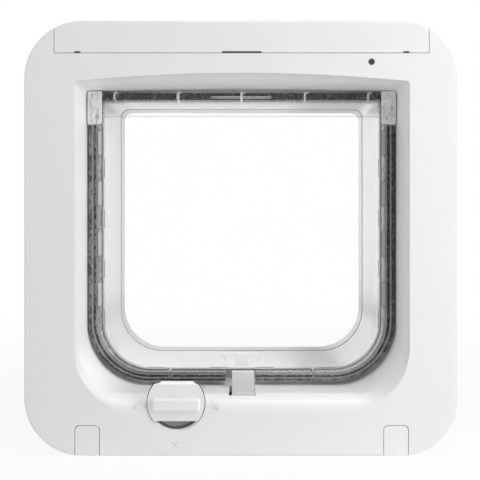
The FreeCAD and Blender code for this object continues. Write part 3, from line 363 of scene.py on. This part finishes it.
wears = {
    "inner_frame": "housingWhite", "rear_cover": "housingWhite", "battery_cover": "housingWhite",
    "screw_cover_left": "housingWhite", "screw_cover_right": "housingWhite",
    "tunnel": "tunnelWhite", "coil_cover": "tunnelWhite", "antenna_coil": "coilCopper",
    "seal_carrier": "clearSeal", "brush_inner": "brushPile", "brush_middle": "brushPile",
    "brush_outer": "brushPile", "brush_top": "brushPile", "flap_panel": "clearFlap",
    "flap_magnet": "magnetCeramic", "circuit_board": "boardGreen",
    "board_components": "chipBlack", "led": "lampLens", "led_window": "lampLens",
    "memory_button": "latchPlastic", "latch": "latchPlastic", "batteries": "cellSleeve",
    "battery_contacts": "contactNickel", "motor_pinion": "gearPlastic", "lock_motor": "motorCan",
    "lock_housing": "lockPlastic", "lock_knob": "knobPlastic", "lock_cam": "screwSteel",
    "mounting_screws": "screwSteel", "housing_screws": "screwSteel", "outer_frame": "outerWhite",
}
for name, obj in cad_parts.items():
    if not obj.material_slots:
        obj.data.materials.append(None)
    for held in obj.material_slots:
        held.material = finishes[wears[name]]
print("finishes on", len(wears), "nodes")


# meshes

def newPiece(name, vertices, faces, finish, body, smooth=False):
    mesh = bpy.data.meshes.new(name)
    mesh.from_pydata([tuple(v) for v in vertices], [], faces)
    # every face looks outward
    shell = bmesh.new()
    shell.from_mesh(mesh)
    bmesh.ops.recalc_face_normals(shell, faces=shell.faces)
    shell.to_mesh(mesh)
    shell.free()
    mesh.update()
    mesh.materials.append(finishes[finish])
    if smooth:
        mesh.shade_smooth()
    piece = bpy.data.objects.new(name, mesh)
    scene.collection.objects.link(piece)
    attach(piece, body)
    return piece


# bristles: each row is a dense core with single hairs standing out of it

pile = {
    "openingHalf": 72.3, "openingBottom": 68.7, "openingRadius": 25, "sideTop": 57.95,
    "footShare": 0.8, "foot": -7.0, "coreFront": -11.9, "hairFront": -12.75, "spare": 0.05,
    "pitch": 0.42, "hair": 0.24, "tip": 0.19, "lean": 0.14, "ragged": 0.7,
    "latchBreak": (-8.05, 7.05), "clip": 37.1, "clipHalf": 0.7,
    # how far each row's edges lie outside the opening, and whether the clips break it
    "rows": {"brush_inner": (1.0, 1.8, True), "brush_middle": (2.6, 4.1, True),
             "brush_outer": (4.9, 6.8, False)},
}


def sealPoint(offset, share):
    # a point of the U at an offset, share runs from 0 at the left top to 1 at the right top
    radius = pile["openingRadius"] + offset
    centreX = -(pile["openingHalf"] - pile["openingRadius"])
    centreZ = radius - pile["openingBottom"] - offset * pile["footShare"]
    side = pile["sideTop"] - centreZ
    arc = math.pi / 2 * radius
    reach = side + arc - centreX
    walked = reach * (1 - abs(2 * share - 1))
    if walked < side:
        x, z = centreX - radius, pile["sideTop"] - walked
    elif walked < side + arc:
        turn = (walked - side) / radius
        x, z = centreX - radius * math.cos(turn), centreZ - radius * math.sin(turn)
    else:
        x, z = centreX + walked - side - arc, centreZ - radius
    return (x if share < 0.5 else -x), z, 2 * reach


def isBroken(x, z, clipped):
    # true where the row stops for the latch or a clip
    low, high = pile["latchBreak"]
    atClip = clipped and abs(abs(x) - pile["clip"]) < pile["clipHalf"]
    return z < 1 - pile["openingBottom"] and (low < x < high or atClip)


def strands(points, rng):
    # hairs with a triangular foot and a smaller triangular tip, one for each (x, z)
    count = len(points)
    turn = rng.uniform(0, 2 * math.pi, count)
    lean = rng.normal(0, pile["lean"], (count, 2)).clip(-0.2, 0.2)
    tipY = pile["hairFront"] + rng.uniform(0, pile["ragged"], count)
    vertices = np.zeros((count, 6, 3))
    for corner in range(3):
        angle = turn + corner * 2 * math.pi / 3
        ring = np.stack([np.cos(angle), np.sin(angle)], axis=1)
        vertices[:, corner, ::2] = points + pile["hair"] * ring
        vertices[:, corner, 1] = pile["foot"]
        vertices[:, corner + 3, ::2] = points + lean + pile["tip"] * ring
        vertices[:, corner + 3, 1] = tipY
    faces = []
    for base in range(0, count * 6, 6):
        faces += [(base, base + 1, base + 2), (base + 5, base + 4, base + 3)]
        faces += [(base + k, base + 3 + k, base + 3 + (k + 1) % 3, base + (k + 1) % 3)
                  for k in range(3)]
    return vertices.reshape(-1, 3) * mm, faces


def sweepCore(sections, vertices, faces):
    # a closed bar through upright rectangles, each (inner x, z, outer x, z)
    base = len(vertices)
    for x0, z0, x1, z1 in sections:
        for x, y, z in ((x0, pile["foot"], z0), (x1, pile["foot"], z1),
                        (x1, pile["coreFront"], z1), (x0, pile["coreFront"], z0)):
            vertices.append((x * mm, y * mm, z * mm))
    for i in range(len(sections) - 1):
        a, b = base + 4 * i, base + 4 * (i + 1)
        faces += [(a + k, b + k, b + (k + 1) % 4, a + (k + 1) % 4) for k in range(4)]
    last = base + 4 * (len(sections) - 1)
    faces += [(base, base + 1, base + 2, base + 3), (last + 3, last + 2, last + 1, last)]


def bristlePiece(name, vertices, faces, spots, rng):
    hairs, hairFaces = strands(np.array(spots), rng)
    start = len(vertices)
    faces += [tuple(start + k for k in face) for face in hairFaces]
    piece = newPiece(name + "_hairs", vertices + list(hairs), faces, "brushPile", "frame")
    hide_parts(name)
    return len(spots)


def bristleRow(name, inner, outer, clipped, seed):
    rng = np.random.default_rng(seed)
    low, high = inner + pile["spare"], outer - pile["spare"]
    length = sealPoint((low + high) / 2, 0)[2]
    vertices, faces, run = [], [], []
    for share in np.linspace(0, 1, round(length / 0.8)):
        x0, z0, _ = sealPoint(low, share)
        x1, z1, _ = sealPoint(high, share)
        if not isBroken((x0 + x1) / 2, z0, clipped):
            run.append((x0, z0, x1, z1))
        elif run:
            sweepCore(run, vertices, faces)
            run = []
    sweepCore(run, vertices, faces)
    lanes = max(2, round((high - low) / pile["pitch"]))
    edge = pile["hair"] + 0.02
    spots = []
    for offset in np.linspace(low + edge, high - edge, lanes):
        for share in np.arange(0.4, length - 0.4, pile["pitch"]) / length:
            share += rng.uniform(-0.1, 0.1) / length
            x, z, _ = sealPoint(offset + rng.uniform(-0.06, 0.06), share)
            if not isBroken(x - 0.25, z, clipped) and not isBroken(x + 0.25, z, clipped):
                spots.append((x, z))
    return bristlePiece(name, vertices, faces, spots, rng)


topPile = {"low": 71.0, "high": 74.95, "half": 72.25, "bridges": 32.7, "bridgeHalf": 0.6}


def bristleTop(name, seed):
    rng = np.random.default_rng(seed)
    cuts = [-topPile["half"]]
    for step in (-2, -1, 0, 1, 2):
        middle = step * topPile["bridges"]
        cuts += [middle - topPile["bridgeHalf"], middle + topPile["bridgeHalf"]]
    cuts.append(topPile["half"])
    vertices, faces, spots = [], [], []
    for left, right in zip(cuts[::2], cuts[1::2]):
        sweepCore([(x, topPile["low"] + 0.1, x, topPile["high"] - 0.1)
                   for x in np.linspace(left + 0.1, right - 0.1, 8)], vertices, faces)
        for x in np.arange(left + 0.25, right - 0.2, pile["pitch"]):
            for z in np.arange(topPile["low"] + 0.25, topPile["high"] - 0.2, pile["pitch"]):
                jitter = rng.uniform(-0.08, 0.08, 2)
                spots.append((x + jitter[0], z + jitter[1]))
    return bristlePiece(name, vertices, faces, spots, rng)


hairCount = sum(bristleRow(name, *row, seed=index)
                for index, (name, row) in enumerate(pile["rows"].items(), start=11))
hairCount += bristleTop("brush_top", 29)
print("bristles:", hairCount, "hairs")


# small clear pieces and dark pieces of painted shade, many swept round along their own smooth paths

def smoothPath(points, steps=6):
    # a rounded line through the points
    points = [Vector(p) for p in points]
    ends = [points[0] * 2 - points[1]] + points + [points[-1] * 2 - points[-2]]
    path = []
    for i in range(1, len(ends) - 2):
        a, b, c, d = ends[i - 1:i + 3]
        for step in range(steps):
            t = step / steps
            path.append(0.5 * (2 * b + (c - a) * t + (2 * a - 5 * b + 4 * c - d) * t ** 2
                               + (3 * b - a - 3 * c + d) * t ** 3))
    return path + [points[-1]]


def sweepRound(path, radius, vertices, faces, sides=8, taper=0.45):
    # a round bar along the path, thinner at both ends
    base, last = len(vertices), len(path) - 1
    up = Vector((0, 1, 0))
    for i, spot in enumerate(path):
        along = (path[min(i + 1, last)] - path[max(i - 1, 0)]).normalized()
        across = along.cross(up).normalized()
        lift = across.cross(along)
        here = radius * (taper if i in (0, last) else 1)
        for k in range(sides):
            turn = 2 * math.pi * k / sides
            vertices.append((spot + across * math.cos(turn) * here
                             + lift * math.sin(turn) * here) * mm)
    for i in range(last):
        a, b = base + sides * i, base + sides * (i + 1)
        faces += [(a + k, a + (k + 1) % sides, b + (k + 1) % sides, b + k) for k in range(sides)]
    faces.append(tuple(range(base + sides - 1, base - 1, -1)))
    faces.append(tuple(base + sides * last + k for k in range(sides)))


def sweptPiece(name, lines, radius, finish, body):
    vertices, faces = [], []
    for line in lines:
        sweepRound(smoothPath(line), radius, vertices, faces)
    return newPiece(name, vertices, faces, finish, body, smooth=True)


# pale hooks at the bridges of the top row: painted highlights for the glints there
bridgeGlints = {"places": (-65.4, -32.7, 0, 32.7, 65.4), "front": -13.75, "radius": 0.34,
               "shape": ((-0.35, 71.2), (-0.45, 72.6), (-0.1, 73.9), (1.0, 74.5), (1.7, 74.3))}
sweptPiece("bridge_painted_glints", [[(place + x, bridgeGlints["front"], z)
                             for x, z in bridgeGlints["shape"]] for place in bridgeGlints["places"]],
           bridgeGlints["radius"], "clearGlint", "frame")

# clear clips at the pivots, whose highlights are painted in the pale glint finish
pivotClips = {"front": -14.35, "radius": 0.55,
              "hook": ((74.0, 73.6), (76.4, 72.4), (77.3, 69.6), (76.2, 66.2), (76.9, 62.6),
                       (76.3, 59.0)),
              "ribs": (((72.4, 71.6), (74.6, 71.0)), ((77.9, 67.6), (77.2, 66.9)),
                       ((73.6, 66.6), (73.1, 61.0)))}
for side, name in ((-1, "pivot_clip_left"), (1, "pivot_clip_right")):
    lines = [[(side * x, pivotClips["front"], z) for x, z in pivotClips["hook"]]]
    lines += [[(side * x, pivotClips["front"], z) for x, z in rib] for rib in pivotClips["ribs"]]
    sweptPiece(name, lines, pivotClips["radius"], "clearGlint", "frame")

# rippled clear window over each pivot block
pivotGlass = {"inner": 71.9, "outer": 79.3, "low": 58.3, "high": 75.2, "back": -13.97,
              "thick": 0.16, "ripple": 0.2, "columns": 18, "rows": 40, "corner": 0.9}


def glassPane(name, side, seed):
    rng = np.random.default_rng(seed)
    waves = [(rng.uniform(0.8, 2.6), rng.uniform(-0.5, 0.5), rng.uniform(0, 6)) for _ in range(6)]
    columns, rows = pivotGlass["columns"], pivotGlass["rows"]
    front, back = [], []
    for i in range(columns + 1):
        for j in range(rows + 1):
            x = pivotGlass["inner"] + (pivotGlass["outer"] - pivotGlass["inner"]) * i / columns
            z = pivotGlass["low"] + (pivotGlass["high"] - pivotGlass["low"]) * j / rows
            lift = sum(math.sin(a * x + b * z + c) for a, b, c in waves) / len(waves)
            rim = min(i, columns - i, j, rows - j) > 0
            height = pivotGlass["thick"] + pivotGlass["ripple"] * (0.5 + 0.5 * lift) * rim
            # outer corners are rounded by drawing them in
            pull = pivotGlass["corner"] * (0.3 if (i in (0, columns)) and (j in (0, rows)) else 0)
            x += pull * (1 if i == 0 else -1)
            z += pull * (1 if j == 0 else -1)
            front.append((side * x * mm, (pivotGlass["back"] - height) * mm, z * mm))
            back.append((side * x * mm, pivotGlass["back"] * mm, z * mm))
    count, tall = len(front), rows + 1
    faces = []
    for i in range(columns):
        for j in range(rows):
            a = i * tall + j
            cell = (a, a + tall, a + tall + 1, a + 1)
            cell = cell if side > 0 else cell[::-1]
            faces += [cell, tuple(count + k for k in cell[::-1])]
    rim = ([j for j in range(tall)] + [i * tall + rows for i in range(1, columns + 1)]
           + [columns * tall + j for j in range(rows - 1, -1, -1)]
           + [i * tall for i in range(columns - 1, 0, -1)])
    for a, b in zip(rim, rim[1:] + rim[:1]):
        wall = (a, b, count + b, count + a)
        faces.append(wall if side > 0 else wall[::-1])
    return newPiece(name, front + back, faces, "clearGlass", "frame", smooth=True)


glassPane("pivot_glass_left", -1, 41)
glassPane("pivot_glass_right", 1, 43)

# castellations of the lip: pale pads, the right ones painted darker as painted shade, with dark
# edges painted as light bent away, between the flap's tabs
lipPads = {"inner": 71.95, "outer": 73.95, "half": 6.3, "middles": (-29.3, -3.3, 22.7, 48.7),
           "round": 0.75, "front": -13.97, "thick": 0.23, "edge": 0.13}


def padOutline(middle, inset=0):
    # corner by corner round the pad, each corner in four steps
    low, high = lipPads["inner"] + inset, lipPads["outer"] - inset
    half, radius = lipPads["half"] - inset, lipPads["round"] - inset
    outline = []
    for x, z, start in ((high, half, 0), (low, half, 90), (low, -half, 180), (high, -half, 270)):
        for step in range(4):
            turn = math.radians(start + 30 * step)
            centreX = x - math.copysign(radius, x - (low + high) / 2)
            centreZ = z - math.copysign(radius, z)
            outline.append((centreX + radius * math.cos(turn),
                            middle + centreZ + radius * math.sin(turn)))
    return outline


for side, name in ((-1, "left"), (1, "right")):
    vertices, faces, loops = [], [], []
    for middle in lipPads["middles"]:
        rings = [(padOutline(middle), 0), (padOutline(middle), lipPads["thick"] * 0.6),
                 (padOutline(middle, 0.16), lipPads["thick"])]
        base, count = len(vertices), len(rings[0][0])
        for outline, rise in rings:
            vertices += [(side * x * mm, (lipPads["front"] - rise) * mm, z * mm)
                         for x, z in outline]
        # the back first, then two bands of walls, then the front
        faces.append(tuple(base + k for k in range(count))[::side])
        for ring in range(2):
            a, b = base + ring * count, base + (ring + 1) * count
            faces += [(a + k, b + k, b + (k + 1) % count, a + (k + 1) % count)[::side]
                      for k in range(count)]
        faces.append(tuple(base + 2 * count + k for k in range(count))[::-side])
        loop = [(side * x, lipPads["front"] - lipPads["thick"] * 0.7, z)
                for x, z in padOutline(middle)]
        loops.append(loop + loop[:1])
    newPiece("lip_pads_" + name, vertices, faces, "clearPad" if side < 0 else "clearPadPaintedShade",
             "frame")
    sweptPiece("lip_pad_edges_" + name, loops, lipPads["edge"], "paintedEdgeShade", "frame")

# dark inner edges of the flap's tabs, which stand for the light bent away there
tabEdges = {"side": 70.95, "foot": -67.25, "front": -12.25, "half": 4.8, "radius": 0.19,
            "heights": (-42.3, -16.3, 9.7, 35.7), "places": (12.2, 44.1)}
for side, name in ((-1, "left"), (1, "right")):
    lines = [[(side * tabEdges["side"], tabEdges["front"], height + end * tabEdges["half"])
              for end in (-1, 0, 1)] for height in tabEdges["heights"]]
    lines += [[(side * (place + end * tabEdges["half"]), tabEdges["front"], tabEdges["foot"])
               for end in (-1, 0, 1)] for place in tabEdges["places"]]
    sweptPiece("flap_tab_edges_" + name, lines, tabEdges["radius"], "paintedEdgeShade", "flap")

# shallow moulded arc across the head of the flap
headerArc = {"axisY": -9, "axisZ": 66.5, "barrel": 3.8, "radius": 0.16,
             "shape": ((-33, 65.3), (-17, 64.1), (0, 63.6), (17, 64.1), (34, 65.5))}
# it follows the round front of the flap's head
sweptPiece("flap_header_arc", [[
    (x, headerArc["axisY"] - math.sqrt(headerArc["barrel"] ** 2 - (headerArc["axisZ"] - z) ** 2), z)
    for x, z in headerArc["shape"]]], headerArc["radius"], "clearFlap", "flap")

# toothed strip that holds the top row in its middle
comb = {"half": 15.6, "height": 72.3, "front": -13.0, "pitch": 0.96, "tooth": 0.42,
        "radius": 0.17}
teeth = [[(x, comb["front"], comb["height"] - comb["tooth"]),
          (x, comb["front"] - 0.05, comb["height"]),
          (x, comb["front"], comb["height"] + comb["tooth"])]
         for x in np.arange(-comb["half"], comb["half"] + 0.1, comb["pitch"])]
rails = [[(-comb["half"], comb["front"], comb["height"] + rise),
          (0, comb["front"], comb["height"] + rise), (comb["half"], comb["front"],
                                                      comb["height"] + rise)]
         for rise in (-comb["tooth"], comb["tooth"])]
sweptPiece("brush_comb", teeth + rails, comb["radius"], "clearGlint", "frame")

# thin dark arcs at both sides of the dial, which stand for its shaded gap
dialGapShade = {"centre": (-31.6, -79.1), "radius": 13.99, "front": -35.8, "thick": 0.19, "reach": 38.5}
for start, name in ((0, "dial_wiper_right"), (180, "dial_wiper_left")):
    turns = [math.radians(start + angle) for angle in np.linspace(-dialGapShade["reach"],
                                                                  dialGapShade["reach"], 9)]
    sweptPiece(name, [[(dialGapShade["centre"][0] + dialGapShade["radius"] * math.cos(turn), dialGapShade["front"],
                        dialGapShade["centre"][1] + dialGapShade["radius"] * math.sin(turn))
                       for turn in turns]], dialGapShade["thick"], "paintedGapShade", "frame")

# dark liner on the lower cone of the dial's well, which stands for the shadow there
shadeSheet = {"centre": (-31.6, -79.1), "inner": 12.35, "outer": 13.3, "coneRadius": 12.2,
         "coneBack": -32.6, "slope": 1.7, "thick": 0.1, "from": 204, "to": 336, "steps": 32}


def buildWellShade(name):
    vertices, faces = [], []
    for step in range(shadeSheet["steps"] + 1):
        turn = math.radians(shadeSheet["from"] + (shadeSheet["to"] - shadeSheet["from"]) * step / shadeSheet["steps"])
        for radius, lift in ((shadeSheet["inner"], -1), (shadeSheet["outer"], -1), (shadeSheet["outer"], 0.5),
                             (shadeSheet["inner"], 0.5)):
            depth = shadeSheet["coneBack"] - (radius - shadeSheet["coneRadius"]) * shadeSheet["slope"]
            reach = radius + lift * shadeSheet["thick"]
            vertices.append(((shadeSheet["centre"][0] + reach * math.cos(turn)) * mm, depth * mm,
                             (shadeSheet["centre"][1] + reach * math.sin(turn)) * mm))
    last = len(vertices) - 4
    faces += [(0, 1, 2, 3), (last + 3, last + 2, last + 1, last)]
    for a in range(0, last, 4):
        faces += [(a + k, a + 4 + k, a + 4 + (k + 1) % 4, a + (k + 1) % 4) for k in range(4)]
    newPiece(name, vertices, faces, "paintedWellShade", "frame")


# grey plate on the dial's own ledge, which stands for the shadow below the grip
ledge = {"radius": 11.7, "chord": 8.9, "back": -32.58, "thick": 0.1, "points": 17}


def ledgePlate(name):
    half = math.acos(ledge["chord"] / ledge["radius"])
    turns = np.linspace(1.5 * math.pi - half, 1.5 * math.pi + half, ledge["points"])
    vertices = [((shadeSheet["centre"][0] + ledge["radius"] * math.cos(turn)) * mm, depth * mm,
                 (shadeSheet["centre"][1] + ledge["radius"] * math.sin(turn)) * mm)
                for depth in (ledge["back"], ledge["back"] - ledge["thick"]) for turn in turns]
    count = len(turns)
    faces = [tuple(range(count)), tuple(range(2 * count - 1, count - 1, -1))]
    faces += [(k, k + count, (k + 1) % count + count, (k + 1) % count) for k in range(count)]
    newPiece(name, vertices, faces, "lockPlastic", "knob")


buildWellShade("dial_well_shade_sheet")
ledgePlate("dial_ledge")
print("small clear and soft pieces ready")


# faint raised marks round the dial: in only, out only and locked
marks = {
    "face": -36.0, "rise": 0.12, "width": 0.34,
    "strokes": {
        # each stroke is x, z, x, z in mm
        "dial_mark_left": [(-52.0, -82.2, -48.8, -78.4), (-51.4, -78.4, -48.8, -78.4),
                           (-48.8, -78.4, -48.8, -81.0)],
        "dial_mark_right": [(-14.4, -78.4, -11.2, -82.2), (-13.8, -82.2, -11.2, -82.2),
                            (-11.2, -82.2, -11.2, -79.6)],
        "dial_mark_foot": [(-33.7, -101.2, -30.5, -98.0), (-33.7, -98.0, -30.5, -101.2)],
    },
}


def strokeMark(name, strokes):
    vertices, faces = [], []
    half = marks["width"] / 2
    for index, (x0, z0, x1, z1) in enumerate(strokes):
        along = Vector((x1 - x0, 0, z1 - z0)).normalized()
        side = Vector((-along.z, 0, along.x)) * half
        # strokes that cross lie at slightly different heights
        rise = marks["rise"] + 0.01 * index
        ends = (Vector((x0, 0, z0)) - along * half, Vector((x1, 0, z1)) + along * half)
        base = len(vertices)
        for y, scale in ((marks["face"] + 0.02, 1), (marks["face"] - rise, 0.7)):
            for end in ends:
                for sign in (-1, 1):
                    spot = end + side * sign * scale
                    vertices.append((spot.x * mm, y * mm, spot.z * mm))
        faces += [tuple(base + k for k in face) for face in (
            (0, 1, 3, 2), (4, 6, 7, 5), (0, 4, 5, 1), (2, 3, 7, 6), (0, 2, 6, 4), (1, 5, 7, 3))]
    return newPiece(name, vertices, faces, "latchPlastic", "frame")


for name, strokes in marks["strokes"].items():
    strokeMark(name, strokes)
print("dial marks:", len(marks["strokes"]))


# floor, light and camera

studio = {
    "floorHeight": -0.1052, "floorSize": 3.0,
    # how white the floor looks by itself: near the object, and from where it runs into the backdrop
    "floorNear": 0.90, "floorFar": 1.0, "fadeFrom": 0.16, "fadeTo": 0.55,
    "worldLevel": 0.2, "paper": (0.88, 0.88, 0.88), "floorSteps": 12, "aim": (0, -0.03, 0),
    "lamps": {
        "keyLamp": dict(at=(0.42, -0.27, 0.08), width=0.25, height=0.4, power=1.0),
        "sideLamp": dict(at=(1.2, -0.7, 0.25), width=0.8, height=0.8, power=4.8),
        "topLamp": dict(at=(0.15, -0.42, 0.95), width=0.6, height=0.5, power=4.1),
        "fillLamp": dict(at=(-1.1, -0.45, 0.15), width=0.7, height=0.7, power=3.6),
        "backLamp": dict(at=(-0.16, 0.62, -0.03), width=0.5, height=0.5, power=0.88),
    },
}
camera = {"at": (0, -0.356, 0.0054), "lens": 49.84, "sensor": 36, "nearest": 0.01,
          "shiftX": -0.0034, "shiftY": -0.0271}


def seenDirectly(finish):
    # 1 for rays from the camera, in a mirror or through glass
    path = "ShaderNodeLightPath"
    straight = finish.node(path, out="Is Camera Ray")
    mirrored = finish.node(path, out="Is Glossy Ray")
    through = finish.node(path, out="Is Transmission Ray")
    return finish.node("ShaderNodeMath", {"operation": "MINIMUM"},
                       {0: straight + mirrored + through, 1: 1.0})


def emptyFinish(holder):
    holder.use_nodes = True
    holder.node_tree.nodes.clear()
    return Finish(holder.node_tree)


def buildFloor():
    size = studio["floorSize"]
    steps = studio["floorSteps"]
    grid = [(size * (2 * i / steps - 1), size * (2 * j / steps - 1), studio["floorHeight"])
            for i in range(steps + 1) for j in range(steps + 1)]
    faces = []
    for i in range(steps):
        for j in range(steps):
            a = i * (steps + 1) + j
            faces.append((a, a + steps + 1, a + steps + 2, a + 1))
    mesh = bpy.data.meshes.new("studioFloor")
    mesh.from_pydata(grid, [], faces)
    paperMaterial = bpy.data.materials.new("studioPaper")
    finish = emptyFinish(paperMaterial)
    paper = finish.node("ShaderNodeBsdfDiffuse", None, {"Color": studio["paper"]})
    glow = finish.node("ShaderNodeEmission", None, {"Color": (1, 1, 1, 1), "Strength": 1.0})
    distance = finish.node("ShaderNodeVectorMath", {"operation": "LENGTH"}, {
        0: finish.node("ShaderNodeNewGeometry", out="Position")}, out="Value")
    fade = finish.node("ShaderNodeMapRange", None, {
        "Value": distance, "From Min": studio["fadeFrom"], "From Max": studio["fadeTo"],
        "To Min": studio["floorNear"], "To Max": studio["floorFar"]})
    both = finish.node("ShaderNodeMixShader", None, {
        0: seenDirectly(finish) * fade, 1: paper, 2: glow})
    finish.node("ShaderNodeOutputMaterial", None, {"Surface": both}, out=None)
    mesh.materials.append(paperMaterial)
    floor = bpy.data.objects.new("studioFloor", mesh)
    scene.collection.objects.link(floor)


def buildWorld():
    world = bpy.data.worlds.new("studioWorld")
    scene.world = world
    finish = emptyFinish(world)
    soft = finish.node("ShaderNodeBackground", None, {
        "Color": (1, 1, 1, 1), "Strength": studio["worldLevel"]})
    white = finish.node("ShaderNodeBackground", None, {"Color": (1, 1, 1, 1), "Strength": 1.0})
    both = finish.node("ShaderNodeMixShader", None, {0: seenDirectly(finish), 1: soft, 2: white})
    finish.node("ShaderNodeOutputWorld", None, {"Surface": both}, out=None)


def softLamp(name, at, width, height, power):
    lamp = bpy.data.lights.new(name, "AREA")
    lamp.shape = "RECTANGLE"
    lamp.size = width
    lamp.size_y = height
    lamp.energy = power
    holder = bpy.data.objects.new(name, lamp)
    holder.location = at
    towards = Vector(studio["aim"]) - Vector(at)
    holder.rotation_euler = towards.to_track_quat("-Z", "Y").to_euler()
    holder.visible_camera = False
    scene.collection.objects.link(holder)


def buildCamera():
    lens = bpy.data.cameras.new("photoCamera")
    lens.lens = camera["lens"]
    lens.sensor_width = camera["sensor"]
    lens.shift_x = camera["shiftX"]
    lens.shift_y = camera["shiftY"]
    lens.clip_start = camera["nearest"]
    holder = bpy.data.objects.new("photoCamera", lens)
    holder.location = camera["at"]
    holder.rotation_euler = (math.pi / 2, 0, 0)
    scene.collection.objects.link(holder)
    scene.camera = holder


buildFloor()
buildWorld()
for name, lamp in studio["lamps"].items():
    softLamp(name, **lamp)
buildCamera()
scene.view_settings.view_transform = "Standard"
scene.cycles.transparent_max_bounces = 32
print("studio ready")
